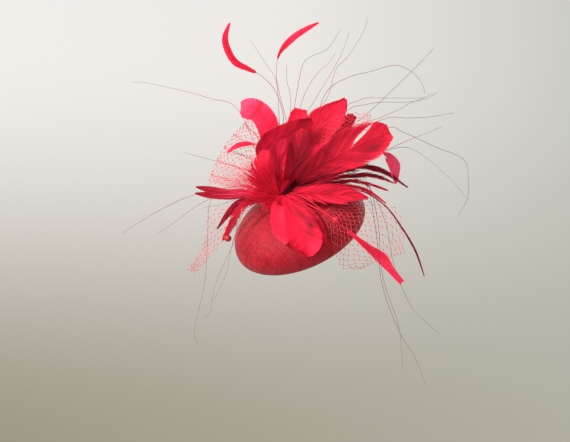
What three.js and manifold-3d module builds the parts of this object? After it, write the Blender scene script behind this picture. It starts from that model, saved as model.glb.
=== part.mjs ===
// A red percher fascinator, in millimetres, as it is worn: +X to the wearer's left, +Y away from
// the viewer, +Z up. The origin is the middle of the base's rim, where it sits on the head.
// A domed base of woven straw carries a bound knot, and every feather, quill and strip of veiling
// leaves from that knot.

import * as THREE from 'three';
import { mergeVertices } from 'three/addons/utils/BufferGeometryUtils.js';
import Module from 'manifold-3d';

const wasm = await Module();
wasm.setup();

// The base: half its length and width, its height, how boxy its sides are, and its wall.
const BASE_HALF_LENGTH = 86;
const BASE_HALF_WIDTH = 70;
const BASE_HEIGHT = 42;
const BASE_FULLNESS = 2.3;
const BASE_WALL = 2;
const EDGE_DROP = 5.5;
const EDGE_TUCK = 5;
const BASE_SIDES = 28;
const BASE_STEPS = 6;

// How the base is worn, in degrees: turned towards the forehead, tipped forward, and spun.
const WORN_TURN = -26.2;
const WORN_TILT = 47.3;
const WORN_SPIN = 33.5;

// The knot that binds the stems, on the dome behind its highest point.
const KNOT_ALONG = -3.7;
const KNOT_ACROSS = 18.4;
const KNOT_HEIGHT = 14;
const KNOT_RADIUS = 6;
const KNOT_SIDES = 12;

// Walls, threads and clearances: a feather's vane and its shaft, a quill and a wire across, the net's
// thread across and deep, the head that holds a spray, the gap between pieces, and a feather's root.
const VANE = 1.0;
const SHAFT = 1.5;
const NARROWEST = 0.7;
const QUILL = 1.0;
const WIRE = 1.2;
const THREAD_HALF = 0.75;
const THREAD_THICK = 1.0;
const NET_KNOT = 1.5;
const HEAD_RADIUS = 2;
const GAP = 0.3;
const SLIVER = 0.01;
const KNOT_SEAT = 0.6;
const ROOT_START = -0.5;
const ROOT_LENGTH = 5;
const ROOT_HALF = 1;

// The comb inside the rim.
const COMB_LENGTH = 44;
const COMB_BAR = 3;
const COMB_INSET = 1.4;
const COMB_TEETH = 9;
const TOOTH_LENGTH = 24;
const TOOTH_THICKNESS = 1.6;

const finish = (colour, roughness, metalness = 0) =>
  new THREE.MeshStandardMaterial({ color: colour, roughness, metalness, side: THREE.DoubleSide });
const STRAW = finish('#c22b33', 0.62);
const SCARLET = finish('#f0182f', 0.7);
const ROSE = finish('#fb2b57', 0.68);
const WINE = finish('#8c1226', 0.7);
const QUILL_BROWN = finish('#8f5a5e', 0.55);
const NET_RED = finish('#d9344c', 0.6);
const BEAD_RED = finish('#d50f22', 0.35);
const COMB_RED = finish('#7a1420', 0.4);
const THREAD = finish('#6d0c1c', 0.85);

const table = (columns, rows) => {
  const names = columns.split(' ');
  return rows.map((row) => Object.fromEntries(names.map((name, i) => [name, row[i]])));
};

// Feathers, each as rows along its shaft from the knot to the tip: the shaft's place, its half
// width to the left and right as one looks along it from the front, its roll in degrees (the right
// edge comes forward) and its cup (how far the edges bend forward, as a share of the half width).
// turn and level say where on the knot it is bound: degrees round it, and millimetres up it.
const SECTION = 'x y z left right roll cup';
const FEATHERS = [
  {
    name: 'petal_centre_dark', turn: 70, level: 12.2, finish: WINE, across: 5,
    rows: table(SECTION, [
      [-13, -40, 68, 8, 10, -8, 0.25],
      [-3, -46, 89, 14, 17, -12, 0.3],
      [2, -44, 107, 13, 13, -12, 0.3],
      [8, -38, 122, 1.5, 1.5, -8, 0.2],
    ]),
  },
  {
    name: 'petal_centre_left', turn: 112, level: 12.2, finish: SCARLET, across: 5,
    rows: table(SECTION, [
      [-28, -42, 68, 8, 8, 14, 0.3],
      [-26, -54, 92, 10, 9, 18, 0.35],
      [-21, -57, 108, 6, 6, 20, 0.35],
      [-18, -56, 116, 1.2, 1.2, 20, 0.2],
    ]),
  },
  {
    name: 'petal_left', turn: 150, level: 9.6, finish: SCARLET, across: 5,
    rows: table(SECTION, [
      [-39, -30, 60, 11, 12, 6, 0.15],
      [-47, -31, 77, 17, 16, 8, 0.15],
      [-52, -28, 92, 15, 17, 10, 0.15],
      [-52, -24, 105, 5, 5, 10, 0.1],
    ]),
  },
  {
    name: 'petal_front_right', turn: -68, level: 12.2, finish: ROSE, across: 5,
    rows: table(SECTION, [
      [-13, -50, 27, 9, 8, 0, 0.25],
      [-2, -66, 9, 17, 14, 0, 0.35],
      [6, -77, -8, 18, 17, 0, 0.45],
      [10, -86, -23, 14, 13, 0, 0.5],
      [11, -91, -32, 4, 4, 0, 0.4],
    ]),
  },
  {
    name: 'petal_front_left', turn: -100, level: 9.6, finish: ROSE, across: 5,
    rows: table(SECTION, [
      [-29, -41, 28, 8, 7, 0, 0.2],
      [-27, -54, 9, 12, 10, 0, 0.2],
      [-22, -63, -6, 11, 9, 0, 0.2],
      [-18, -68, -18, 2, 2, 0, 0.1],
    ]),
  },
  {
    name: 'petal_front_under', turn: -50, level: 7, finish: ROSE, across: 5,
    rows: table(SECTION, [
      [-2, -45, 28, 7, 7, 0, 0.1],
      [14, -57, 10, 10, 9, 0, 0.1],
      [24, -64, -6, 8, 8, 0, 0.1],
      [32, -65, -18, 1, 1, 0, 0.1],
    ]),
  },
  {
    name: 'petal_right_lower', turn: 0, level: 12.2, finish: ROSE, across: 5,
    rows: table(SECTION, [
      [6, -42, 45, 8, 8, 15, 0.15],
      [31, -50, 43, 15, 15, 25, 0.15],
      [57, -49, 42, 13, 12, 25, 0.15],
      [85, -42, 39, 1, 1, 20, 0.1],
    ]),
  },
  {
    name: 'petal_right_large', turn: 28, level: 9.6, finish: SCARLET, across: 5,
    rows: table(SECTION, [
      [6, -28, 67, 10, 9, 8, 0.2],
      [37, -26, 86, 18, 16, 10, 0.25],
      [64, -20, 102, 12, 19, 12, 0.3],
      [87, -15, 117, 14, 16, 14, 0.3],
      [102, -14, 129, 4, 4, 14, 0.2],
    ]),
  },
  {
    name: 'petal_right_back', turn: 38, level: 7, finish: WINE, across: 5,
    rows: table(SECTION, [
      [18, -2, 87, 12, 12, 0, 0.15],
      [47, 6, 112, 16, 12, 0, 0.15],
      [67, 10, 127, 12, 10, 0, 0.15],
      [82, 12, 135, 2, 2, 0, 0.1],
    ]),
  },
  {
    name: 'petal_upper_right', turn: 62, level: 7, finish: ROSE, across: 5,
    rows: table(SECTION, [
      [-4, -14, 80, 10, 10, -6, 0.15],
      [12, -10, 109, 18, 18, -8, 0.2],
      [26, -6, 134, 18, 18, -8, 0.2],
      [38, -4, 152, 13, 12, -8, 0.2],
      [47, -3, 163, 4, 4, -8, 0.1],
    ]),
  },
  {
    name: 'petal_small_top', turn: 66, level: 4.4, finish: ROSE, across: 5,
    rows: table(SECTION, [
      [-13, 4, 93, 8, 8, 0, 0.15],
      [-6, 10, 122, 10, 10, 0, 0.2],
      [1, 12, 142, 9, 8, 0, 0.2],
      [3, 12, 153, 3, 3, 0, 0.1],
    ]),
  },
  {
    name: 'petal_top_dark', turn: 128, level: 7, finish: WINE, across: 5,
    rows: table(SECTION, [
      [-43, -14, 80, 9, 9, 0, 0.1],
      [-41, -16, 104, 14, 14, -10, 0.1],
      [-19, -20, 119, 13, 18, -15, 0.15],
      [2, -24, 129, 10, 14, -15, 0.15],
      [15, -24, 136, 3, 3, -10, 0.1],
    ]),
  },
  {
    name: 'petal_upper_left', turn: 110, level: 4.4, finish: ROSE, across: 5,
    rows: table(SECTION, [
      [-34, 2, 89, 8, 8, 0, 0.1],
      [-38, 8, 118, 13, 12, 0, 0.15],
      [-46, 8, 140, 11, 13, 10, 0.2],
      [-55, 2, 153, 10, 12, 25, 0.25],
      [-66, -8, 157, 9, 10, 30, 0.25],
      [-74, -14, 154, 3, 3, 25, 0.1],
    ]),
  },
  {
    name: 'petal_back_left', turn: 133, level: 4.4, finish: SCARLET, across: 5,
    rows: table(SECTION, [
      [-34, 16, 80, 10, 10, 35, 0.1],
      [-42, 38, 94, 16, 16, 40, 0.1],
      [-45, 56, 99, 13, 13, 45, 0.1],
      [-46, 68, 98, 2, 2, 45, 0.1],
    ]),
  },
  {
    name: 'petal_back_right', turn: 60, level: 1.6, finish: SCARLET, across: 5,
    rows: table(SECTION, [
      [4, 18, 80, 9, 9, -30, 0.1],
      [20, 40, 96, 16, 16, -35, 0.1],
      [30, 60, 102, 13, 13, -40, 0.1],
      [34, 74, 100, 2, 2, -40, 0.1],
    ]),
  },
  {
    name: 'coque_left_upper', turn: 172, level: 4.4, finish: WINE, across: 3,
    rows: table(SECTION, [
      [-65, -12, 46, 3, 3, 0, 0.1],
      [-90, -7, 46, 4, 4, 0, 0.1],
      [-115, -4, 50, 4, 4, 0, 0.1],
      [-131, -2, 53, 0.8, 0.8, 0, 0.1],
    ]),
  },
  {
    name: 'coque_left_lower', turn: 180, level: 7, finish: WINE, across: 3,
    rows: table(SECTION, [
      [-65, -21, 42, 3, 3, 0, 0.1],
      [-90, -15, 41, 4, 4, 0, 0.1],
      [-115, -12, 43, 4, 4, 0, 0.1],
      [-132, -10, 45, 0.8, 0.8, 0, 0.1],
    ]),
  },
  {
    name: 'coque_top_left', turn: 126, level: 1.6, finish: SCARLET, across: 3,
    rows: table(SECTION, [
      [-26, 16, 92, 0.7, 0.7, 0, 0],
      [-21, 20, 137, 0.7, 0.7, 0, 0],
      [-30, 22, 171, 0.7, 0.7, 0, 0],
      [-48, 23, 192, 0.9, 0.9, 0, 0],
      [-65, 22, 201, 3, 3, 0, 0.1],
      [-82, 20, 210, 4.2, 4.2, 0, 0.1],
      [-92, 17, 227, 4.2, 4.2, 0, 0.1],
      [-94, 15, 242, 3.6, 3.6, 0, 0.1],
      [-88, 13, 260, 0.9, 0.9, 0, 0.1],
    ]),
  },
  {
    name: 'coque_top_right', turn: 86, level: 6.2, finish: SCARLET, across: 3,
    rows: table(SECTION, [
      [-17, 14, 88, 0.7, 0.7, 0, 0],
      [-15, 22, 122, 0.7, 0.7, 0, 0],
      [-28, 30, 178, 0.7, 0.7, 0, 0],
      [-30, 31, 200, 0.7, 0.7, 0, 0],
      [-27, 31, 219, 1.6, 1.6, 0, 0],
      [-18, 30, 232, 3.8, 3.8, 0, 0.1],
      [-6, 28, 243, 4, 4, 0, 0.1],
      [10, 27, 253, 3, 3, 0, 0.1],
      [24, 26, 260, 0.9, 0.9, 0, 0.1],
    ]),
  },
  {
    name: 'leaf_feather_left', turn: 153, level: 7, finish: ROSE, across: 3,
    rows: table(SECTION, [
      [-47, -1, 88, 0.8, 0.8, 0, 0],
      [-57, 0, 105, 1, 1, 0, 0],
      [-67, 0, 107, 2.8, 2.8, 0, 0.1],
      [-80, -2, 104, 3.2, 3.2, 0, 0.1],
      [-92, -4, 95, 0.8, 0.8, 0, 0.1],
    ]),
  },
  {
    name: 'cut_feather_right', turn: 30, level: 4.4, finish: ROSE, across: 3,
    rows: table(SECTION, [
      [37, -2, 76, 0.8, 0.8, 0, 0],
      [81, 4, 88, 0.8, 0.8, 0, 0],
      [101, 4, 95, 0.8, 0.8, 0, 0],
      [112, 3, 93, 2.5, 9, 0, 0],
      [117, 3, 81, 8.5, 8, 0, 0.1],
      [119, 3, 67, 5, 5, 0, 0.1],
      [119, 3, 56, 0.9, 0.9, 0, 0.1],
    ]),
  },
  {
    name: 'arrow_feather_right', turn: -44, level: 12.2, finish: ROSE, across: 3,
    rows: table(SECTION, [
      [18, -70, 27, 0.8, 0.8, 0, 0],
      [44, -74, 10, 1, 1, 0, 0],
      [66, -68, -8, 2.4, 2.4, 0, 0],
      [87, -57, -25, 4.8, 4.8, 0, 0.1],
      [101, -48, -36, 7, 7, 0, 0.1],
      [113, -41, -51, 4.5, 4.5, 0, 0.1],
      [127, -34, -67, 3.4, 3.4, 0, 0],
    ]),
  },
  {
    name: 'thin_feather_right', turn: -14, level: 9.6, finish: WINE, across: 3,
    rows: table(SECTION, [
      [37, -34, 52, 0.8, 0.8, 0, 0],
      [77, -26, 47, 0.9, 0.9, 0, 0],
      [106, -16, 29, 1.2, 1.2, 0, 0],
      [128, -12, 0, 1.6, 1.6, 0, 0],
      [144, -12, -28, 1.8, 1.8, 0, 0],
      [155, -13, -60, 0.7, 0.7, 0, 0],
    ]),
  },
  {
    name: 'hackle_left_dark', turn: 198, level: 4.4, finish: WINE, across: 3,
    rows: table(SECTION, [
      [-72, -27, 35, 4, 4, 0, 0.1],
      [-87, -25, 23, 4.5, 4.5, 0, 0.1],
      [-97, -24, 10, 2.5, 2.5, 0, 0.1],
      [-104, -23, 0, 0.7, 0.7, 0, 0.1],
    ]),
  },
  {
    name: 'hackle_left_fluffy', turn: 206, level: 9.6, finish: SCARLET, across: 3,
    rows: table(SECTION, [
      [-67, -38, 32, 6, 7, 0, 0.1],
      [-80, -38, 16, 6, 7, 0, 0.1],
      [-89, -37, -1, 5, 5, 0, 0.1],
      [-97, -36, -14, 1.5, 1.5, 0, 0.1],
    ]),
  },
];

// Tufts of narrow hackle, fused at the head: each strand as rows like a feather's.
const TUFTS = [
  {
    name: 'hackle_tuft_right', turn: 4, level: 6.6, finish: WINE,
    strands: [
      table(SECTION, [
        [37, -12, 68, 2.6, 2.6, 0, 0],
        [75, -4, 78, 3.2, 3.2, 0, 0],
        [106, 0, 71, 2.4, 2.4, 0, 0],
        [135, 2, 52, 0.6, 0.6, 0, 0],
      ]),
      table(SECTION, [
        [37, -16, 62, 2.4, 2.4, 0, 0],
        [77, -11, 68, 2.4, 2.4, 0, 0],
        [100, -7, 65, 2, 2, 0, 0],
        [117, -5, 57, 0.6, 0.6, 0, 0],
      ]),
      table(SECTION, [
        [32, -19, 57, 2, 2, 0, 0],
        [64, -18, 60, 2, 2, 0, 0],
        [87, -14, 56, 1.8, 1.8, 0, 0],
        [110, -11, 48, 0.6, 0.6, 0, 0],
      ]),
      table(SECTION, [
        [37, -26, 54, 2, 2, 0, 0],
        [62, -24, 54, 2, 2, 0, 0],
        [85, -20, 47, 1.8, 1.8, 0, 0],
        [107, -19, 32, 0.6, 0.6, 0, 0],
      ]),
    ],
  },
];

// Stripped quills, as sprays fused at a small bound head: the x, y and z of points along each quill.
const SPRAYS = [
  {
    name: 'quill_spray_top', turn: 95, level: 1.8, finish: QUILL_BROWN,
    quills: [
      [[-12, 28, 88], [0, 32, 130], [18, 26, 162], [38, 18, 195], [53, 10, 223], [61, 6, 247]],
      [[-10, 30, 88], [8, 38, 130], [34, 46, 166], [45, 54, 202], [61, 62, 219], [81, 74, 252],
        [85, 80, 269]],
      [[-22, 30, 88], [-26, 36, 130], [-30, 42, 185], [-41, 50, 205], [-54, 60, 225], [-63, 66, 239]],
      [[-16, 26, 88], [-14, 28, 125], [-12, 26, 164], [-17, 22, 187], [-17, 18, 208]],
    ],
  },
  {
    name: 'quill_spray_right', turn: 22, level: 1.8, finish: QUILL_BROWN,
    quills: [
      [[12, 22, 104], [30, 36, 168], [57, 48, 190], [91, 66, 200], [120, 84, 208], [142, 96, 200],
        [155, 104, 185], [159, 108, 172]],
      [[24, 24, 100], [80, 34, 142], [127, 56, 186], [157, 72, 216], [169, 78, 229]],
      [[30, 22, 94], [100, 32, 137], [137, 40, 140], [165, 48, 142], [194, 56, 147]],
      [[32, 20, 86], [106, 24, 126], [129, 28, 122], [169, 38, 104], [206, 50, 88],
        [212, 54, 61], [211, 56, 39], [200, 56, 18]],
      [[36, 18, 80], [86, 14, 91], [128, 10, 103], [156, -10, 90], [189, -30, 60], [208, -40, 37]],
      [[30, 16, 74], [80, 18, 64], [97, 14, 10], [101, 12, -45], [108, 10, -77], [123, 8, -121],
        [128, 6, -171]],
      [[26, 18, 72], [78, 26, 62], [94, 24, 4], [102, 24, -66], [123, 34, -126], [144, 44, -161],
        [158, 50, -196]],
      [[34, 10, 70], [82, 10, 56], [106, 4, 10], [117, 0, -45], [137, -6, -94], [155, -12, -114],
        [174, -18, -131]],
    ],
  },
  {
    name: 'quill_spray_left', turn: 158, level: 1.8, finish: QUILL_BROWN,
    quills: [
      [[-44, 20, 76], [-78, 28, 150], [-111, 36, 164], [-154, 50, 176], [-194, 64, 185],
        [-214, 72, 186]],
      [[-70, 4, 54], [-132, 2, 43], [-166, -8, 29], [-202, -22, 8], [-222, -30, -5]],
      [[-68, 8, 52], [-120, 16, 35], [-163, 26, 5], [-182, 32, -7]],
      [[-66, 6, 50], [-96, 8, 46], [-113, 8, 34], [-116, 10, -3], [-118, 12, -47],
        [-122, 16, -78], [-133, 22, -126], [-130, 24, -142]],
    ],
  },
];

// Bead stamens: a ball on a wire stalk.
const STAMENS = [
  {
    name: 'stamen_left', turn: 228, level: 12.2, radius: 4.4, finish: BEAD_RED,
    stalk: [[-62, -50, 32], [-82, -51, 9], [-90, -50, -11]],
  },
  {
    name: 'stamen_right', turn: -22, level: 12.2, radius: 3.8, finish: BEAD_RED,
    stalk: [[4, -54, 40], [24, -64, 26], [43, -60, 12]],
  },
];

// Veiling, each as a fan of diamond mesh: rows from the gathered end to the free edge, with the
// two sides of the fan and how far its middle bulges to the front.
const FAN = 'x1 y1 z1 x2 y2 z2 bulge';
const VEILS = [
  {
    name: 'veil_left_upper', cells: [3, 5], finish: NET_RED,
    rows: table(FAN, [
      [-46, 2, 58, -40, 14, 96, 2],
      [-74, 4, 54, -50, 20, 122, 8],
      [-100, 8, 56, -58, 24, 134, 12],
      [-115, 12, 60, -64, 28, 140, 8],
    ]),
  },
  {
    name: 'veil_left_lower', cells: [2, 6], finish: NET_RED,
    rows: table(FAN, [
      [-50, -5, 26, -52, 6, 33, 0],
      [-84, -18, 10, -112, -4, 26, 4],
      [-98, -14, -16, -116, -4, 0, 4],
      [-116, -10, -38, -124, -4, -24, 3],
      [-132, -8, -54, -140, -4, -50, 1],
    ]),
  },
  {
    name: 'veil_right', cells: [4, 5], finish: NET_RED,
    rows: table(FAN, [
      [26, -60, 18, 46, -38, 38, 0],
      [36, -62, -6, 74, -33, 38, 4],
      [43, -64, -30, 100, -28, 34, 6],
      [52, -60, -48, 124, -26, 20, 8],
      [76, -50, -48, 130, -26, -28, 6],
    ]),
  },
];

// Solids: a closed geometry becomes a solid, and back.
function toSolid(geometry) {
  const bare = new THREE.BufferGeometry();
  bare.setAttribute('position', geometry.getAttribute('position'));
  if (geometry.index) bare.setIndex(geometry.index);
  const merged = mergeVertices(bare, 1e-4);
  return new wasm.Manifold(new wasm.Mesh({
    numProp: 3,
    vertProperties: new Float32Array(merged.getAttribute('position').array),
    triVerts: new Uint32Array(merged.index.array),
  }));
}

function toGeometry(solid) {
  const mesh = solid.getMesh();
  const geometry = new THREE.BufferGeometry();
  geometry.setAttribute('position', new THREE.BufferAttribute(mesh.vertProperties, 3));
  geometry.setIndex(new THREE.BufferAttribute(mesh.triVerts, 1));
  geometry.computeVertexNormals();
  return geometry;
}

const largest = (solid) =>
  solid.decompose().reduce((best, part) => (part.volume() > best.volume() ? part : best));

// Where the base sits, and the frame of the knot on it.
const radians = THREE.MathUtils.degToRad;
const worn = new THREE.Matrix4()
  .multiply(new THREE.Matrix4().makeRotationZ(radians(WORN_TURN)))
  .multiply(new THREE.Matrix4().makeRotationX(radians(WORN_TILT)))
  .multiply(new THREE.Matrix4().makeRotationZ(radians(WORN_SPIN)));

function domeHeight(along, across) {
  const share = Math.hypot(along / BASE_HALF_LENGTH, across / BASE_HALF_WIDTH);
  return BASE_HEIGHT * (1 - share ** BASE_FULLNESS) ** (1 / BASE_FULLNESS);
}

const up = new THREE.Vector3(0, 0, 1).transformDirection(worn);
const side = new THREE.Vector3(1, 0, 0).addScaledVector(up, -up.x).normalize();
const back = up.clone().cross(side);
const knotFoot = new THREE.Vector3(KNOT_ALONG, KNOT_ACROSS, domeHeight(KNOT_ALONG, KNOT_ACROSS))
  .applyMatrix4(worn)
  .addScaledVector(up, KNOT_SEAT);

const awayFromKnot = (turn) =>
  side.clone().multiplyScalar(Math.cos(radians(turn))).addScaledVector(back, Math.sin(radians(turn)));

function onKnot(turn, level, distance) {
  return knotFoot.clone()
    .addScaledVector(up, level)
    .addScaledVector(awayFromKnot(turn), KNOT_RADIUS + distance);
}

// The dome filled in, which a strip of net that lies on the base keeps clear of.
function filledDome(grow) {
  const outline = [new THREE.Vector2(0, BASE_HEIGHT + grow)];
  for (let i = 1; i <= BASE_STEPS; i += 1) {
    const angle = (i / BASE_STEPS) * (Math.PI / 2);
    outline.push(new THREE.Vector2(
      (BASE_HALF_LENGTH + grow) * Math.sin(angle) ** (2 / BASE_FULLNESS),
      (BASE_HEIGHT + grow) * Math.cos(angle) ** (2 / BASE_FULLNESS),
    ));
  }
  outline.push(new THREE.Vector2(0, 0));
  const geometry = new THREE.LatheGeometry(outline.reverse(), BASE_SIDES);
  geometry.rotateX(Math.PI / 2);
  geometry.scale(1, (BASE_HALF_WIDTH + grow) / (BASE_HALF_LENGTH + grow), 1);
  geometry.applyMatrix4(worn);
  return toSolid(geometry);
}

// The base: a hollow dome, its edge turned down and tucked in.
function baseShell() {
  const outside = [];
  const inside = [];
  for (let i = 0; i <= BASE_STEPS; i += 1) {
    const angle = (i / BASE_STEPS) * (Math.PI / 2);
    const out = Math.sin(angle) ** (2 / BASE_FULLNESS);
    const rise = Math.cos(angle) ** (2 / BASE_FULLNESS);
    outside.push(new THREE.Vector2(BASE_HALF_LENGTH * out, BASE_HEIGHT * rise));
    inside.push(new THREE.Vector2(
      (BASE_HALF_LENGTH - BASE_WALL) * out,
      (BASE_HEIGHT - BASE_WALL) * rise,
    ));
  }
  const edge = [
    new THREE.Vector2(BASE_HALF_LENGTH - EDGE_TUCK * 0.3, -EDGE_DROP * 0.6),
    new THREE.Vector2(BASE_HALF_LENGTH - EDGE_TUCK * 0.8, -EDGE_DROP),
    new THREE.Vector2(BASE_HALF_LENGTH - EDGE_TUCK - BASE_WALL, -EDGE_DROP),
    new THREE.Vector2(BASE_HALF_LENGTH - EDGE_TUCK - BASE_WALL, -EDGE_DROP + BASE_WALL),
    new THREE.Vector2(BASE_HALF_LENGTH - EDGE_TUCK * 0.3 - BASE_WALL, -EDGE_DROP * 0.3),
  ];
  const profile = [...outside, ...edge, ...inside.reverse()].reverse();
  profile[0].x = 0;
  profile[profile.length - 1].x = 0;
  const geometry = new THREE.LatheGeometry(profile, BASE_SIDES);
  geometry.rotateX(Math.PI / 2);
  geometry.scale(1, BASE_HALF_WIDTH / BASE_HALF_LENGTH, 1);
  geometry.applyMatrix4(worn);
  return toSolid(geometry);
}

// The knot: a bound stub with a rounded head.
function stemBinding(grow = 0) {
  const radius = KNOT_RADIUS + grow;
  const profile = [
    [0, -grow], [radius * 0.9, -grow], [radius, 2], [radius * 0.94, KNOT_HEIGHT * 0.5],
    [radius, KNOT_HEIGHT - 2], [radius * 0.6, KNOT_HEIGHT + grow], [0, KNOT_HEIGHT + grow],
  ].map(([x, y]) => new THREE.Vector2(x, y));
  const geometry = new THREE.LatheGeometry(profile, KNOT_SIDES);
  geometry.rotateX(Math.PI / 2);
  geometry.applyMatrix4(worn);
  geometry.translate(knotFoot.x, knotFoot.y, knotFoot.z);
  return toSolid(geometry);
}

// The comb: a bar inside the front rim with teeth that point back under the dome.
function comb() {
  const reach = BASE_HALF_WIDTH - BASE_WALL;
  const corner = Math.sqrt(1 - ((COMB_LENGTH / 2) / (BASE_HALF_LENGTH - BASE_WALL)) ** 2);
  const front = -reach * corner + COMB_INSET;
  const bar = new THREE.BoxGeometry(COMB_LENGTH, COMB_BAR, COMB_BAR);
  bar.translate(0, front + COMB_BAR / 2, COMB_BAR);
  let solid = toSolid(bar.applyMatrix4(worn));
  for (let i = 0; i < COMB_TEETH; i += 1) {
    const tooth = new THREE.BoxGeometry(TOOTH_THICKNESS, TOOTH_LENGTH, TOOTH_THICKNESS);
    const spread = (COMB_LENGTH - TOOTH_THICKNESS) * (i / (COMB_TEETH - 1) - 0.5);
    tooth.translate(spread, front + COMB_BAR * 0.5 + TOOTH_LENGTH / 2, COMB_BAR);
    solid = solid.add(toSolid(tooth.applyMatrix4(worn)));
  }
  return solid;
}

// A smooth run through rows with the same columns, as many steps to each gap.
function smooth(rows, steps) {
  const names = Object.keys(rows[0]);
  const at = (i) => rows[Math.min(Math.max(i, 0), rows.length - 1)];
  const out = [];
  for (let i = 0; i < rows.length - 1; i += 1) {
    for (let k = 0; k < steps || (i === rows.length - 2 && k === steps); k += 1) {
      const t = k / steps;
      const row = {};
      for (const name of names) {
        const [a, b, c, d] = [at(i - 1)[name], at(i)[name], at(i + 1)[name], at(i + 2)[name]];
        row[name] = 0.5 * (2 * b + (c - a) * t + (2 * a - 5 * b + 4 * c - d) * t * t
          + (3 * b - a - 3 * c + d) * t * t * t);
      }
      out.push(row);
    }
  }
  return out;
}

// A feather's blade: sections across the shaft, joined into one closed skin.
function blade(rows, across, grow = 0, steps = 2) {
  const run = smooth(rows, steps);
  const centre = run.map((row) => new THREE.Vector3(row.x, row.y, row.z));
  const positions = [];
  const indices = [];
  const half = (across - 1) / 2;
  run.forEach((row, i) => {
    const ahead = centre[Math.min(i + 1, run.length - 1)].clone();
    const along = ahead.sub(centre[Math.max(i - 1, 0)]).normalize();
    const front = new THREE.Vector3(0, -1, 0).addScaledVector(along, along.y).normalize();
    const right = along.clone().cross(front);
    front.applyAxisAngle(along, radians(-row.roll));
    right.applyAxisAngle(along, radians(-row.roll));
    const ends = i === 0 ? -grow : i === run.length - 1 ? grow : 0;
    for (const face of [1, -1]) {
      for (let k = 0; k < across; k += 1) {
        const place = ((k - half) / half) * face;
        const width = Math.max(NARROWEST, place > 0 ? row.right : row.left) + grow;
        const thick = (k === half ? SHAFT : VANE) / 2 + grow;
        const point = centre[i].clone()
          .addScaledVector(along, ends)
          .addScaledVector(right, place * width)
          .addScaledVector(front, face * thick + row.cup * width * place * place);
        positions.push(point.x, point.y, point.z);
      }
    }
  });
  const ring = across * 2;
  for (let i = 0; i < run.length - 1; i += 1) {
    for (let k = 0; k < ring; k += 1) {
      const [a, b] = [i * ring + k, i * ring + ((k + 1) % ring)];
      indices.push(a, b, a + ring, b, b + ring, a + ring);
    }
  }
  const last = (run.length - 1) * ring;
  for (let k = 0; k < across - 1; k += 1) {
    const [a, b, c, d] = [k, k + 1, ring - 1 - k, ring - 2 - k];
    indices.push(a, c, b, b, c, d);
    indices.push(last + a, last + b, last + c, last + b, last + d, last + c);
  }
  const geometry = new THREE.BufferGeometry();
  geometry.setAttribute('position', new THREE.Float32BufferAttribute(positions, 3));
  geometry.setIndex(indices);
  return toSolid(geometry);
}

const rootRow = (turn, level, distance, width) => {
  const place = onKnot(turn, level, distance);
  return { x: place.x, y: place.y, z: place.z, left: width, right: width, roll: 0, cup: 0 };
};

function feather({ turn, level, rows, across }, grow = 0) {
  const root = [
    rootRow(turn, level, ROOT_START, ROOT_HALF),
    rootRow(turn, level, ROOT_START + ROOT_LENGTH, ROOT_HALF * 1.3),
  ];
  return blade([...root, ...rows], across, grow);
}

function ball(centre, radius, around = 8, rings = 5) {
  const geometry = new THREE.SphereGeometry(radius, around, rings);
  geometry.translate(centre.x, centre.y, centre.z);
  return toSolid(geometry);
}

function tube(points, radius, sides = 4) {
  const curve = new THREE.CatmullRomCurve3(points, false, 'centripetal');
  const outline = new THREE.Shape(Array.from({ length: sides }, (_, k) => {
    const angle = (k / sides) * 2 * Math.PI;
    return new THREE.Vector2(radius * Math.cos(angle), radius * Math.sin(angle));
  }));
  const steps = Math.max(5, points.length + 1);
  return toSolid(new THREE.ExtrudeGeometry(outline, {
    steps, extrudePath: curve, curveSegments: 1, bevelEnabled: false,
  }));
}

function tuft({ turn, level, strands }, grow = 0) {
  const reach = GAP + HEAD_RADIUS * 1.05;
  let solid = ball(onKnot(turn, level, reach), HEAD_RADIUS + grow);
  for (const strand of strands) {
    const start = rootRow(turn, level, reach, ROOT_HALF * 0.8);
    solid = solid.add(blade([start, ...strand], 3, grow, 1));
  }
  return solid;
}

function spray({ turn, level, quills }, grow = 0) {
  const head = onKnot(turn, level, GAP + HEAD_RADIUS * 1.05);
  let solid = ball(head, HEAD_RADIUS + grow);
  for (const quill of quills) {
    const points = [head, ...quill.map((place) => new THREE.Vector3(...place))];
    solid = solid.add(tube(points, QUILL / 2 + grow));
  }
  return solid;
}

function stamen({ turn, level, radius, stalk }, grow = 0) {
  const root = onKnot(turn, level, ROOT_START);
  const points = [root, ...stalk.map((place) => new THREE.Vector3(...place))];
  return tube(points, WIRE / 2 + grow).add(ball(points[points.length - 1], radius + grow, 10, 7));
}

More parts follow.
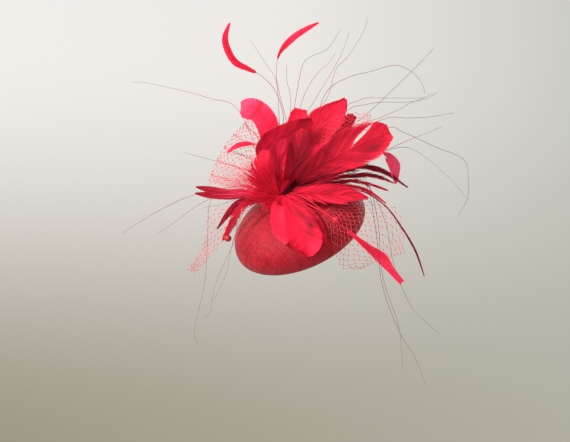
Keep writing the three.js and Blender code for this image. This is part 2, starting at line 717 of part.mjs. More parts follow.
// Veiling: knots on a fan, joined by flat threads along both diagonals of the fan's cells.
function veil({ rows, cells }) {
  const [wide, long] = cells;
  const run = smooth(rows, 8);
  const place = (s, t) => {
    const at = t * (run.length - 1);
    const i = Math.min(Math.floor(at), run.length - 2);
    const mix = (name) => THREE.MathUtils.lerp(run[i][name], run[i + 1][name], at - i);
    const a = new THREE.Vector3(mix('x1'), mix('y1'), mix('z1'));
    const b = new THREE.Vector3(mix('x2'), mix('y2'), mix('z2'));
    return a.lerp(b, s).add(new THREE.Vector3(0, -mix('bulge') * Math.sin(Math.PI * s), 0));
  };
  // A knot stands at each lattice point whose two numbers add up to an even one.
  const normalAt = (s, t) => {
    const step = 0.01;
    const clampedS = Math.min(Math.max(s, step), 1 - step);
    const clampedT = Math.min(Math.max(t, step), 1 - step);
    const ds = place(clampedS + step, clampedT).sub(place(clampedS - step, clampedT));
    const dt = place(clampedS, clampedT + step).sub(place(clampedS, clampedT - step));
    const normal = ds.cross(dt).normalize();
    return normal.y > 0 ? normal.negate() : normal;
  };
  const positions = [];
  const indices = [];
  const knots = new Map();
  const columns = wide * 2;
  const lines = long * 2;
  for (let j = 0; j <= lines; j += 1) {
    for (let i = 0; i <= columns; i += 1) {
      if ((i + j) % 2) continue;
      const [s, t] = [i / columns, j / lines];
      const centre = place(s, t);
      const normal = normalAt(s, t);
      const toward = (di, dj) => {
        const target = place(
          THREE.MathUtils.clamp(s + di / columns, 0, 1),
          THREE.MathUtils.clamp(t + dj / lines, 0, 1),
        );
        if (target.distanceTo(centre) < 1e-6) {
          target.copy(centre).multiplyScalar(2).sub(place(
            THREE.MathUtils.clamp(s - di / columns, 0, 1),
            THREE.MathUtils.clamp(t - dj / lines, 0, 1),
          ));
        }
        return target.sub(centre).projectOnPlane(normal).normalize();
      };
      const corners = [toward(1, 0), toward(0, 1), toward(-1, 0), toward(0, -1)];
      const start = positions.length / 3;
      for (const face of [1, -1]) {
        for (const corner of corners) {
          const point = centre.clone()
            .addScaledVector(corner, THREAD_HALF * NET_KNOT)
            .addScaledVector(normal, face * THREAD_THICK / 2);
          positions.push(point.x, point.y, point.z);
        }
      }
      knots.set(`${i},${j}`, start);
    }
  }
  const quad = (a, b, c, d) => indices.push(a, b, c, a, c, d);
  // Corner k of a knot looks along +s, +t, -s, -t in turn, and side k lies between corners k, k + 1.
  const beyond = [[1, 1], [-1, 1], [-1, -1], [1, -1]];
  for (const [name, start] of knots) {
    const [i, j] = name.split(',').map(Number);
    quad(start, start + 1, start + 2, start + 3);
    quad(start + 7, start + 6, start + 5, start + 4);
    beyond.forEach(([di, dj], k) => {
      const next = (k + 1) % 4;
      const other = knots.get(`${i + di},${j + dj}`);
      if (other === undefined) {
        quad(start + next, start + k, start + 4 + k, start + 4 + next);
      } else if (k < 2) {
        const [far, farNext] = [(k + 3) % 4, (k + 2) % 4];
        quad(start + next, start + k, other + far, other + farNext);
        quad(start + 4 + k, start + 4 + next, other + 4 + farNext, other + 4 + far);
        quad(start + k, start + 4 + k, other + 4 + far, other + far);
        quad(start + 4 + next, start + next, other + farNext, other + 4 + farNext);
      }
    });
  }
  const geometry = new THREE.BufferGeometry();
  geometry.setAttribute('position', new THREE.Float32BufferAttribute(positions, 3));
  geometry.setIndex(indices);
  const solid = toSolid(geometry);
  return solid.volume() > 0 ? solid : toSolid(flipped(geometry));
}

function flipped(geometry) {
  const index = Array.from(geometry.index.array);
  for (let i = 0; i < index.length; i += 3) {
    [index[i], index[i + 1]] = [index[i + 1], index[i]];
  }
  geometry.setIndex(index);
  return geometry;
}

// The whole: what comes later gives way to what comes before it.
const pieces = [
  { name: 'base_shell', finish: STRAW, build: baseShell, fixed: true },
  { name: 'stem_binding', finish: THREAD, build: stemBinding },
  { name: 'comb', finish: COMB_RED, build: comb, fixed: true },
  ...STAMENS.map((row) => ({ ...row, build: (grow) => stamen(row, grow) })),
  ...SPRAYS.map((row) => ({ ...row, build: (grow) => spray(row, grow) })),
  ...FEATHERS.map((row) => ({ ...row, build: (grow) => feather(row, grow) })),
  ...TUFTS.map((row) => ({ ...row, build: (grow) => tuft(row, grow) })),
  ...VEILS.map((row) => ({ ...row, build: () => veil(row).subtract(filledDome(GAP)), fixed: true })),
];

function boxesMeet(a, b) {
  const [p, q] = [a.boundingBox(), b.boundingBox()];
  return [0, 1, 2].every((k) => p.min[k] <= q.max[k] && q.min[k] <= p.max[k]);
}

const fascinator = new THREE.Group();
const before = [];
for (const piece of pieces) {
  let solid = piece.build(0);
  for (const grown of before) {
    if (boxesMeet(solid, grown)) solid = solid.subtract(grown);
  }
  solid = largest(solid).setTolerance(SLIVER);
  if (!piece.fixed) before.push(piece.build(GAP));
  const mesh = new THREE.Mesh(toGeometry(solid), piece.finish);
  mesh.name = piece.name;
  fascinator.add(mesh);
}

export default fascinator;
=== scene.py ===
from math import cos, pi, radians, sin

import bmesh
import bpy
import numpy as np
from mathutils import Matrix, Vector


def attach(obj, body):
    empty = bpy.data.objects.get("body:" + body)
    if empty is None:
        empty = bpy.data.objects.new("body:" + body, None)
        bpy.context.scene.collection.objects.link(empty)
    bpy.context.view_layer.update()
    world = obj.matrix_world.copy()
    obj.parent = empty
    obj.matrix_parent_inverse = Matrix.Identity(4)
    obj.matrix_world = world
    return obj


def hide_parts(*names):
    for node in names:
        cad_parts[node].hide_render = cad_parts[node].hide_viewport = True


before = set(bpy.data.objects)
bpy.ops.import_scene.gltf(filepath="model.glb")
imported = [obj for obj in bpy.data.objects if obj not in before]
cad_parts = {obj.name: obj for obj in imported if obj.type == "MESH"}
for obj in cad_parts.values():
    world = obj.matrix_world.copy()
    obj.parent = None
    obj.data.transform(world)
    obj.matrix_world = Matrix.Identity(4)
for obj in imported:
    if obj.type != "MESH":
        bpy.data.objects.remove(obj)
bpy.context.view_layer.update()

MM = 0.001


# The base is a percher of sinamay, a stiff open straw cloth, wetted and pulled over a block, with
# its raw edge rolled under. It is one hollow shell, and everything else is sewn to it.
HALF_LENGTH, HALF_WIDTH, HEIGHT, FULLNESS, WALL = 86, 70, 42, 2.3, 2
EDGE_DROP, EDGE_TUCK, LIP_RISE, LIP_DROP, LIP_OUT = 5.5, 5, 0.4, 1.2, 1.5
BASE_SIDES, DOME_STEPS, ROLL_STEPS = 160, 40, 9
THREAD_PITCH, WEAVE_TURN = 1.8, 75
WORN_TURN, WORN_TILT, WORN_SPIN = -26.2, 47.3, 33.5
WORN = np.array(Matrix.Rotation(radians(WORN_TURN), 3, "Z")
                @ Matrix.Rotation(radians(WORN_TILT), 3, "X")
                @ Matrix.Rotation(radians(WORN_SPIN), 3, "Z"))


def finish_piece(name, points, faces, material, attributes=(), uv=None, smooth=True):
    """A mesh object in metres from points in millimetres."""
    mesh = bpy.data.meshes.new(name)
    mesh.from_pydata((np.asarray(points) * MM).tolist(), [], [list(map(int, face)) for face in faces])
    for label, values in attributes:
        layer = mesh.attributes.new(label, "FLOAT", "POINT")
        layer.data.foreach_set("value", np.asarray(values, dtype=np.float32))
    if uv is not None:
        layer = mesh.uv_layers.new(name="UVMap")
        corners = np.empty(len(mesh.loops), dtype=np.int32)
        mesh.loops.foreach_get("vertex_index", corners)
        layer.data.foreach_set("uv", np.asarray(uv, dtype=np.float32)[corners].ravel())
    mesh.polygons.foreach_set("use_smooth", [smooth] * len(mesh.polygons))
    mesh.materials.append(material)
    piece = bpy.data.objects.new(name, mesh)
    bpy.context.collection.objects.link(piece)
    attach(piece, "root")
    return piece


def new_material(name, roughness, sheen=0.0, specular=0.5):
    material = bpy.data.materials.new(name)
    material.use_nodes = True
    shader = material.node_tree.nodes["Principled BSDF"]
    shader.inputs["Roughness"].default_value = roughness
    shader.inputs["Sheen Weight"].default_value = sheen
    shader.inputs["Specular IOR Level"].default_value = specular
    return material, material.node_tree, shader


def add_node(tree, kind, settings=(), **inputs):
    """A node with its settings, and its inputs: a value or another node's output, by the input's
    name, or by its number after an i."""
    node = tree.nodes.new(kind)
    for label, value in settings:
        setattr(node, label, value)
    for label, value in inputs.items():
        numbered = label[0] == "i" and label[1:].isdigit()
        socket = node.inputs[int(label[1:]) if numbered else label]
        if isinstance(value, bpy.types.NodeSocket):
            tree.links.new(value, socket)
        else:
            socket.default_value = value
    return node


def maths(tree, operation, a, b=0.0, c=0.5):
    return add_node(tree, "ShaderNodeMath", [("operation", operation)], i0=a, i1=b, i2=c).outputs[0]


def noise(tree, place, scale, detail):
    return add_node(tree, "ShaderNodeTexNoise", Vector=place, Scale=scale, Detail=detail)


def colour_ramp(tree, factor, stops):
    """A factor's colours: stops are a place on the ramp and its colour, the ends first and last."""
    ramp = add_node(tree, "ShaderNodeValToRGB", i0=factor)
    elements = ramp.color_ramp.elements
    for i in (0, -1):
        elements[i].position = stops[i][0]
        elements[i].color = (*stops[i][1], 1)
    for position, colour in stops[1:-1]:
        elements.new(position).color = (*colour, 1)
    return ramp.outputs[0]


def bump(tree, shader, height, distance, strength=1.0):
    node = add_node(tree, "ShaderNodeBump", Height=height, Distance=distance, Strength=strength)
    tree.links.new(node.outputs[0], shader.inputs["Normal"])


def straw_cloth():
    """Plain weave of flat straw threads, a little uneven, with painted shade darkening the holes between
    them and the threads' low sides.
    """
    material, tree, shader = new_material("sinamay", 0.43, specular=0.5)
    shader.inputs["Specular Tint"].default_value = (1.0, 0.24, 0.30, 1)
    uv = add_node(tree, "ShaderNodeTexCoord").outputs["UV"]
    drift = noise(tree, uv, 0.12, 2.0)
    wander = add_node(tree, "ShaderNodeVectorMath", [("operation", "SCALE")],
                      i0=drift.outputs["Color"], Scale=1.4)
    placed = add_node(tree, "ShaderNodeVectorMath", [("operation", "ADD")], i0=uv, i1=wander.outputs[0])
    along = add_node(tree, "ShaderNodeSeparateXYZ", Vector=placed.outputs[0])
    threads = []
    for axis in (0, 1):
        turn = maths(tree, "MULTIPLY", along.outputs[axis], pi / THREAD_PITCH)
        threads.append(maths(tree, "ABSOLUTE", maths(tree, "SINE", turn)))
    cells = [maths(tree, "FLOOR", maths(tree, "DIVIDE", along.outputs[axis], THREAD_PITCH))
             for axis in (0, 1)]
    over = maths(tree, "PINGPONG", maths(tree, "ADD", cells[0], cells[1]), 1.0)
    warp_up = maths(tree, "MULTIPLY", threads[0], maths(tree, "MULTIPLY_ADD", over, 0.55, 0.5))
    under = maths(tree, "SUBTRACT", 1.0, over)
    weft_up = maths(tree, "MULTIPLY", threads[1], maths(tree, "MULTIPLY_ADD", under, 0.55, 0.5))
    height = maths(tree, "MAXIMUM", warp_up, weft_up)
    streak_x = add_node(tree, "ShaderNodeMapping", Vector=placed.outputs[0], Scale=(0.04, 0.5, 1.0))
    streak_y = add_node(tree, "ShaderNodeMapping", Vector=placed.outputs[0], Scale=(0.5, 0.04, 1.0))
    noise_x = noise(tree, streak_x.outputs[0], 1.0, 2.0)
    noise_y = noise(tree, streak_y.outputs[0], 1.0, 2.0)
    streaks = maths(tree, "SUBTRACT", maths(tree, "ADD", noise_x.outputs[0], noise_y.outputs[0]), 0.6)
    fibre = maths(tree, "MULTIPLY", streaks, 0.42)
    # The thread height darkens the colour as well as the bump: painted shade in the holes and on the low
    # sides.
    shade = maths(tree, "ADD", maths(tree, "MULTIPLY", height, 0.85), fibre)
    colour = colour_ramp(tree, maths(tree, "MULTIPLY", shade, 0.85), [
        (0.2, (0.025, 0.001, 0.003)),
        (0.5, (0.13, 0.002, 0.006)),
        (0.75, (0.37, 0.005, 0.014)),
        (1.0, (0.70, 0.024, 0.040)),
    ])
    tree.links.new(colour, shader.inputs["Base Color"])
    bump(tree, shader, shade, 0.0005, 0.7)
    return material


def base_profile():
    """The shell's outline from its crown outside, round the rolled edge, to its crown inside."""
    out, tuck = [], []
    for i in range(DOME_STEPS + 1):
        angle = i / DOME_STEPS * pi / 2
        reach, rise = sin(angle) ** (2 / FULLNESS), max(cos(angle), 0) ** (2 / FULLNESS)
        out.append((HALF_LENGTH * reach, HEIGHT * rise))
        tuck.append(((HALF_LENGTH - WALL) * reach, (HEIGHT - WALL) * rise))
    rim = []
    roll = (EDGE_TUCK + WALL) / 2
    for i in range(1, ROLL_STEPS):
        angle = i / ROLL_STEPS * pi
        rim.append((HALF_LENGTH - roll * (1 - cos(angle)), -EDGE_DROP * sin(angle)))
    lip = HALF_LENGTH - EDGE_TUCK - WALL
    return out + rim + [(lip, LIP_RISE), (lip + LIP_OUT, -LIP_DROP)] + tuck[::-1]


def make_base():
    """The profile turned round an oval, with the cloth's own lie as UVs in millimetres."""
    sides = BASE_SIDES
    profile = np.array(base_profile())
    rings = profile[1:-1]
    bands = len(rings) - 1
    angle = np.arange(sides) / sides * 2 * pi
    arc = np.concatenate([[0], np.cumsum(np.linalg.norm(np.diff(profile, axis=0), axis=1))])
    ring_arc = arc[1:-1, None] * np.ones(sides)
    x = rings[:, 0, None] * np.cos(angle)
    y = rings[:, 0, None] * np.sin(angle) * HALF_WIDTH / HALF_LENGTH
    z = rings[:, 1, None] * np.ones(sides)
    local = np.stack([x, y, z], axis=-1).reshape(-1, 3)
    local = np.vstack([local, [[0, 0, HEIGHT], [0, 0, HEIGHT - WALL]]])
    turned = angle + radians(WEAVE_TURN)
    flat = np.stack([ring_arc * np.cos(turned),
                     ring_arc * np.sin(turned) * HALF_WIDTH / HALF_LENGTH], axis=-1)
    flat = np.vstack([flat.reshape(-1, 2), [[0, 0], [arc[-1], 0]]])
    faces = []
    for i in range(bands):
        for k in range(sides):
            a, b = i * sides + k, i * sides + (k + 1) % sides
            faces.append((a, a + sides, b + sides, b))
    top, bottom = len(local) - 2, len(local) - 1
    last = bands * sides
    for k in range(sides):
        faces.append((top, k, (k + 1) % sides))
        faces.append((bottom, last + (k + 1) % sides, last + k))
    base = finish_piece("base_straw", local @ WORN.T, faces, straw_cloth(), uv=flat)
    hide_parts("base_shell")


make_base()


# The comb is one plain moulded piece inside the front of the rim, which slides into the hair.
# It isn't dyed to match as closely as the rest, so it is a darker red.
def comb_finish():
    material, tree, shader = new_material("comb_plastic", 0.28, specular=0.5)
    place = add_node(tree, "ShaderNodeTexCoord").outputs["Object"]
    cloud = noise(tree, place, 160.0, 3.0)
    colour = colour_ramp(tree, cloud.outputs[0], [(0.3, (0.10, 0.004, 0.010)), (0.7, (0.26, 0.008, 0.020))])
    tree.links.new(colour, shader.inputs["Base Color"])
    bump(tree, shader, cloud.outputs[0], 0.00005, 0.4)
    return material


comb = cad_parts["comb"]
comb.data.materials.clear()
comb.data.materials.append(comb_finish())


# The stems are gathered, bound with thread into a short stub, and sewn down behind the crown.
# The thread is wound round them in close turns.
KNOT_ALONG, KNOT_ACROSS, KNOT_HEIGHT, KNOT_RADIUS, KNOT_SEAT = -3.7, 18.4, 14, 6, 0.6
THREAD_TURNS, THREAD_RADIUS, THREAD_DEPTH = 15, 0.5, 0.75
up = WORN[:, 2]
side = np.array([1, 0, 0]) - up * up[0]
side = side / np.linalg.norm(side)
back = np.cross(up, side)
dome_share = np.hypot(KNOT_ALONG / HALF_LENGTH, KNOT_ACROSS / HALF_WIDTH)
dome_top = HEIGHT * (1 - dome_share ** FULLNESS) ** (1 / FULLNESS)
knot_foot = WORN @ np.array([KNOT_ALONG, KNOT_ACROSS, dome_top]) + up * KNOT_SEAT


def on_knot(turn, level, distance=0.0):
    """A place at that turn round the knot and level up it, so far out from its side."""
    away = side * cos(radians(turn)) + back * sin(radians(turn))
    return knot_foot + up * level + away * (KNOT_RADIUS + distance)


def tube(points, radii, sides=6):
    """A closed tube along points, its radius given at each: points, and four-sided faces."""
    points = np.asarray(points, dtype=float)
    radii = np.broadcast_to(radii, len(points))
    along = np.gradient(points, axis=0)
    along /= np.linalg.norm(along, axis=1)[:, None]
    seed = np.array([0, 0, 1.0]) if abs(along[0][2]) < 0.9 else np.array([1.0, 0, 0])
    across = np.empty_like(points)
    for i, direction in enumerate(along):
        seed = seed - direction * seed.dot(direction)
        seed = seed / np.linalg.norm(seed)
        across[i] = seed
    other = np.cross(along, across)
    angle = np.arange(sides) / sides * 2 * pi
    ring = (across[:, None] * np.cos(angle)[:, None] + other[:, None] * np.sin(angle)[:, None])
    verts = (points[:, None] + ring * radii[:, None, None]).reshape(-1, 3)
    faces = []
    for i in range(len(points) - 1):
        for k in range(sides):
            a, b = i * sides + k, i * sides + (k + 1) % sides
            faces.append((a, b, b + sides, a + sides))
    faces.append(tuple(reversed(range(sides))))
    faces.append(tuple(range(len(verts) - sides, len(verts))))
    return verts, faces


def gather(parts):
    """Several (points, faces, ...) joined into one, with the faces renumbered."""
    faces, start = [], 0
    for part in parts:
        faces.extend(tuple(index + start for index in face) for face in part[1])
        start += len(part[0])
    return np.vstack([part[0] for part in parts]), faces


def dyed(name, dark, bright, roughness, scale, sheen=0.2):
    """A dyed finish, mottled between two reds."""
    material, tree, shader = new_material(name, roughness, sheen=sheen)
    place = add_node(tree, "ShaderNodeTexCoord").outputs["Object"]
    cloud = noise(tree, place, scale, 3.0)
    colour = colour_ramp(tree, cloud.outputs[0], [(0.35, dark), (0.65, bright)])
    tree.links.new(colour, shader.inputs["Base Color"])
    bump(tree, shader, cloud.outputs[0], 0.0001, 0.5)
    return material


def make_knot():
    """The wound thread round a plain core, a little slimmer at its waist."""
    steps_a_turn, first, climb = 20, 0.9, KNOT_HEIGHT - 2.2
    steps = THREAD_TURNS * steps_a_turn
    wound = []
    for i in range(steps + 1):
        level = first + climb * i / steps
        waist = 0.25 * sin(level / KNOT_HEIGHT * pi)
        wound.append(on_knot(360 * i / steps_a_turn, level, -THREAD_DEPTH - waist))
    core = [knot_foot + up * level for level in (0, 0.6, KNOT_HEIGHT - 1.2, KNOT_HEIGHT - 0.2)]
    parts = [tube(wound, THREAD_RADIUS, 5), tube(core, [5.0, 5.2, 5.2, 3.4], 20)]
    thread = dyed("bound_thread", (0.05, 0.001, 0.004), (0.16, 0.004, 0.01), 0.8, 900)
    knot = finish_piece("knot_thread", *gather(parts), thread)
    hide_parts("stem_binding")


make_knot()


# Goose feathers make the petals. Each has a slim shaft, and its vane is barbs that run out and on
# from the shaft, hooked edge to edge and a little torn at the margin. They are dyed scarlet.
ROOT_STEM = ((0.3, 0.9), (5.3, 1.3))
BARB_STEPS, BARB_THICK, BARB_LIFT, SHINGLE = 9, 0.08, 0.09, 0.11
SHAFT_STEPS, SHAFT_TIP, VANE_END = 40, 0.12, 0.985
rng = np.random.default_rng(11)


def tone_of(tree):
    return add_node(tree, "ShaderNodeAttribute", [("attribute_name", "tone")]).outputs["Fac"]


def feather_dye_and_shade():
    """Reads tone, from 0 for deep wine to 1 for bright rose and pinker above, and the barbs' own lines
    from the UVs. The tone holds the dye and also painted shade and light: darker at roots and in
    hollows, lighter at the margins, and pink where light shines through a thin vane.
    """
    material, tree, shader = new_material("feather_dye_and_painted_shade", 0.6, specular=0.12)
    tone = tone_of(tree)
    uv = add_node(tree, "ShaderNodeTexCoord").outputs["UV"]
    lines = add_node(tree, "ShaderNodeTexWave", [("bands_direction", "Y")],
                     Vector=uv, Scale=0.8, Distortion=1.5)
    stretched = add_node(tree, "ShaderNodeMapping", Vector=uv, Scale=(1.5, 0.9, 1.0))
    cloud = noise(tree, stretched.outputs[0], 1.0, 3.0)
    spread = maths(tree, "MULTIPLY", maths(tree, "SUBTRACT", cloud.outputs[0], 0.5), 0.35)
    grooves = maths(tree, "MULTIPLY", maths(tree, "SUBTRACT", lines.outputs["Fac"], 0.5), 0.07)
    shade = maths(tree, "MULTIPLY", maths(tree, "ADD", maths(tree, "ADD", tone, spread), grooves), 0.8)
    colour = colour_ramp(tree, shade, [
        (0.0, (0.020, 0.0007, 0.004)),
        (0.2, (0.13, 0.0018, 0.010)),
        (0.4, (0.40, 0.004, 0.020)),
        (0.6, (0.77, 0.009, 0.038)),
        (0.8, (0.93, 0.026, 0.080)),
        (1.0, (0.98, 0.095, 0.21)),
    ])
    tree.links.new(colour, shader.inputs["Base Color"])
    bump(tree, shader, lines.outputs["Fac"], 0.00012, 0.6)
    return material


FEATHER_DYE_AND_SHADE = feather_dye_and_shade()


def curve_at(rows, t):
    """Rows as a smooth run, read at t from 0 at the first row to 1 at the last."""
    at = np.clip(t, 0, 1) * (len(rows) - 1)
    i = np.minimum(np.floor(at).astype(int), len(rows) - 2)
    u = (at - i)[..., None]
    a, b, c, d = (rows[np.clip(i + k, 0, len(rows) - 1)] for k in (-1, 0, 1, 2))
    straight = 2 * b + (c - a) * u
    return 0.5 * (straight + (2 * a - 5 * b + 4 * c - d) * u ** 2 + (3 * b - a - 3 * c + d) * u ** 3)


def vane_point(rows, t, s, ripple):
    """The point on a vane at t along the shaft and s across it, from -1 at the left to 1. A row is
    the shaft's x, y and z, the vane's breadth to its left and right, its roll and its cup."""
    row = curve_at(rows, t)
    ahead = curve_at(rows, t + 0.01)[..., :3] - curve_at(rows, t - 0.01)[..., :3]
    along = ahead / np.linalg.norm(ahead, axis=-1)[..., None]
    front = np.array([0, -1.0, 0]) + along * along[..., 1:2]
    front /= np.linalg.norm(front, axis=-1)[..., None]
    right = np.cross(along, front)
    roll = -np.radians(row[..., 5:6])
    front, right = (v * np.cos(roll) + np.cross(along, v) * np.sin(roll) for v in (front, right))
    width = np.where(s > 0, row[..., 4], row[..., 3])[..., None]
    s = s[..., None]
    size, waves, phase = ripple
    wave = size * np.abs(s) ** 1.6 * np.sin(waves * 2 * pi * t[..., None] + phase + 1.7 * np.sign(s))
    return row[..., :3] + right * s * width + front * (row[..., 6:7] * width * s ** 2 + wave)


def bound_rows(turn, level, rows):
    """A feather's rows, with two more where its stem is bound to the knot."""
    root = [[*on_knot(turn, level, distance), width, width, 0, 0] for distance, width in ROOT_STEM]
    return np.array([*root, *rows], dtype=float)


def strip_faces(count, steps, base=0):
    """The faces of that many four-sided strips, closed at both ends."""
    first = (base + np.arange(count) * steps * 4)[:, None, None]
    j = (np.arange(steps - 1) * 4)[None, :, None]
    k = np.arange(4)[None, None, :]
    a, b = first + j + k, first + j + (k + 1) % 4
    sides = np.stack([a, b, b + 4, a + 4], axis=-1).reshape(-1, 4)
    start = first[:, 0] + np.array([[3, 2, 1, 0]])
    end = first[:, 0] + (steps - 1) * 4 + np.array([[0, 1, 2, 3]])
    return [tuple(face) for face in np.vstack([sides, start, end]).tolist()]


def vane(rows, start=0.04, lean=0.7, spacing=0.9, ragged=0.03, clump=9, pull=0.04, jag=0.02, ripple=1.2,
         tone=(0.35, 0.75), edge=0.06, streak=0.03, slits=(), shaft=0.6, shaft_tone=0.0, widen=1.06,
         torn=0, fold=0.05, dips=()):
    """Barbs on both sides of a shaft, each a slim closed strip that runs out and on to the margin.
    They cling in clumps of about so many, pulled together and pointed at the margin, on both sides or
    only on the torn one. A slit is its side, its place along, where it starts and ends across, and
    its gap. The fold amount is how much painted shade and light of soft folds changes the tone, and
    the margins are painted lighter by their own amount. A spot of painted shade stands for a hollow
    that lies in shade: its place along and across, its length and breadth, and how much darker it
    is; a negative amount paints light."""
    run = np.linspace(0, 1, 60)
    total = np.linalg.norm(np.diff(curve_at(rows, run)[:, :3], axis=0), axis=1).sum()
    count = max(8, int(total * (1 - start) / spacing))
    steps = BARB_STEPS
    wave = (ripple, rng.uniform(1.5, 3), rng.uniform(0, 6))
    points, faces, tones, uvs = [], [], [], []
    base = 0
    for hand in (-1, 1):
        foot = start + (VANE_END - start) * (np.arange(count) + 0.5) / count
        row = curve_at(rows, foot)
        width = (row[:, 4] if hand > 0 else row[:, 3]) * widen
        reach = 1 - ragged * np.abs(np.interp(foot, np.linspace(0, 1, 40), rng.normal(0, 1, 40)))
        reach -= ragged * 0.4 * rng.random(count)
        drift, i = np.zeros(count), 0
        tug, bite = (pull, jag) if torn in (0, hand) else (0.04, 0.02)
        while i < count:
            size = max(2, int(clump * rng.uniform(0.5, 1.6)))
            members = np.arange(i, min(i + size, count))
            off = members - members.mean()
            drift[members] = -off * spacing / total * tug * rng.uniform(0.4, 1.8)
            reach[members] -= bite * rng.uniform(0.3, 1.7) * np.abs(off) / (size / 2)
            i += size
        advance = np.minimum(width * lean / total, (1 - foot) * 0.95)
        s = np.linspace(0, 1, steps)[None] * reach[:, None]
        t = foot[:, None] + advance[:, None] * s ** 1.15 + drift[:, None] * s ** 2
        for slit_hand, at, low, high, gap in slits:
            if slit_hand != hand:
                continue
            away = foot - at
            near = np.sign(away) * np.exp(-np.abs(away) / 0.05) * gap / 2
            t += near[:, None] * np.sin(np.clip((s - low) / (high - low), 0, 1) * pi)
        t = np.clip(t, 0, 1)
        half = spacing * 0.8 / total
        taper = np.interp(np.linspace(0, 1, steps), [0, 0.2, 0.8, 1], [0.6, 1, 1, 0.3])
        s_wide = s * widen
        near = vane_point(rows, t - half * taper, hand * s_wide, wave)
        far = vane_point(rows, t + half * taper, hand * s_wide, wave)
        middle = (near + far) / 2
        inner = vane_point(rows, t, hand * np.clip(s_wide - 0.05, 0, 2), wave)
        outer = vane_point(rows, t, hand * np.clip(s_wide + 0.05, 0, 2), wave)
        normal = np.cross(far - near, (outer - inner) * hand)
        normal /= np.linalg.norm(normal, axis=-1)[..., None] + 1e-9
        uneven = 0.10 * rng.normal(0, 1, count)[:, None] * s
        lift = (BARB_LIFT * spacing + uneven)[..., None] * normal
        thinning = np.interp(np.linspace(0, 1, steps), [0, 0.7, 1], [1, 0.8, 0.4])
        thick = (BARB_THICK * thinning)[None, :, None] * normal
        shingle = SHINGLE * normal
        ring = np.stack([near + shingle + lift, middle + thick + lift,
                         far - shingle + lift, middle - thick + lift], axis=2)
        if hand > 0:
            ring = ring[:, :, ::-1]
        points.append(ring.reshape(-1, 3))
        # The tone runs from its first value at the root to its second out along the shaft: the dye's level,
        # and where the root is darker, painted shade near the knot.
        shade = tone[0] + (tone[1] - tone[0]) * np.clip((t - start) / (0.85 - start), 0, 1) ** 0.8
        marks = np.arange(0, count + 4, 4)
        runs = np.interp(np.arange(count), marks, rng.normal(0, 1, len(marks)))
        # Waves of painted shade and light for soft folds.
        fold_shading = np.sin(wave[1] * 5 * t + wave[2] + 2.5 * hand * s)
        grain = streak * runs + 0.03 * rng.normal(0, 1, count)
        # Margins painted lighter, fold waves painted in, and the barbs' own uneven dye as grain.
        shade = shade + edge * s ** 2 + fold * fold_shading + grain[:, None]
        # Spots of painted shade; a negative amount paints light.
        for spot_t, spot_s, long, broad, deep in dips:
            shade = shade - deep * np.exp(-((t - spot_t) / long) ** 2 - ((hand * s - spot_s) / broad) ** 2)
        tones.append(np.repeat(shade[..., None], 4, axis=2).ravel())
        across = np.array([-0.5, 0, 0.5, 0]) * spacing
        lane = (np.arange(count) * spacing)[:, None, None] + across
        lane = np.broadcast_to(lane, (count, steps, 4))
        out = np.broadcast_to((s * width[:, None])[..., None] * 0.1, (count, steps, 4))
        uvs.append(np.stack([out, lane], axis=-1).reshape(-1, 2))
        faces += strip_faces(count, steps, base)
        base += count * steps * 4
    shaft_run = np.linspace(0, 0.97, SHAFT_STEPS)
    shaft_radii = np.interp(shaft_run, [0, 0.15, 1], [shaft, shaft * 0.9, SHAFT_TIP])
    stem = tube(curve_at(rows, shaft_run)[:, :3], shaft_radii, 6)
    points.append(stem[0])
    faces.extend(tuple(index + base for index in face) for face in stem[1])
    tones.append(np.full(len(stem[0]), tone[0] * 0.6 + tone[1] * 0.4 + shaft_tone))
    uvs.append(np.zeros((len(stem[0]), 2)))
    return np.vstack(points), faces, np.concatenate(tones), np.vstack(uvs)


def slim(rows):
    """Full rows from x, y, z, half the breadth and the cup, for a feather with even sides."""
    return [[x, y, z, half, half, 0, cup] for x, y, z, half, cup in rows]


def make_feather(name, slot, turn, level, rows, **look):
    """One feather, bound at that turn and level of the knot, in the place of its solid."""
    points, faces, tones, uvs = vane(bound_rows(turn, level, rows), **look)
    piece = finish_piece(name + "_vane", points, faces, FEATHER_DYE_AND_SHADE, [("tone", tones)], uvs, smooth=False)
    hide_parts(name)


# The front petals hang over the base: a broad one that curls forward at its end like a bowl, one
# beside it to the left, and a thin one under it to the right. All are bright rose.
# Its spots of painted shade mark the dark fold in its bowl, and its margins are painted lighter at the lip.
make_feather("petal_front_right", "rose", -68, 12.2, [
    [-13, -50, 27, 9, 9, 0, 0.25],
    [-3, -66, 9, 18, 17, 0, 0.4],
    [4, -78, -8, 21, 22, 0, 0.45],
    [7, -87, -20, 21, 21, 0, 0.5],
    [8, -92, -28, 17, 17, 0, 0.6],
    [8, -95, -32, 11, 11, 0, 0.7],
    [8, -96, -34, 4, 4, 0, 0.7],
], tone=(0.62, 0.68), lean=1.2, shaft=0.3, edge=0.16, streak=0.04, fold=0.08,
   dips=[(0.45, -0.6, 0.06, 0.32, 0.36), (0.53, -0.25, 0.04, 0.3, 0.2), (0.31, -0.5, 0.07, 0.22, 0.24)])
make_feather("petal_front_left", "rose", -100, 9.6, [
    [-29, -41, 28, 8, 7, 0, 0.2],
    [-27, -54, 9, 12, 10, 0, 0.2],
    [-22, -63, -6, 11, 9, 0, 0.2],
    [-18, -68, -18, 2, 2, 0, 0.1],
], tone=(0.72, 0.84), lean=1.2, shaft=0.35, edge=0.12)
make_feather("petal_front_under", "rose", -50, 7, [
    [-2, -45, 28, 7, 7, 0, 0.1],
    [14, -57, 10, 10, 9, 0, 0.1],
    [24, -64, -6, 8, 8, 0, 0.1],
    [32, -65, -18, 1, 1, 0, 0.1],
], tone=(0.3, 0.62), widen=1.1)
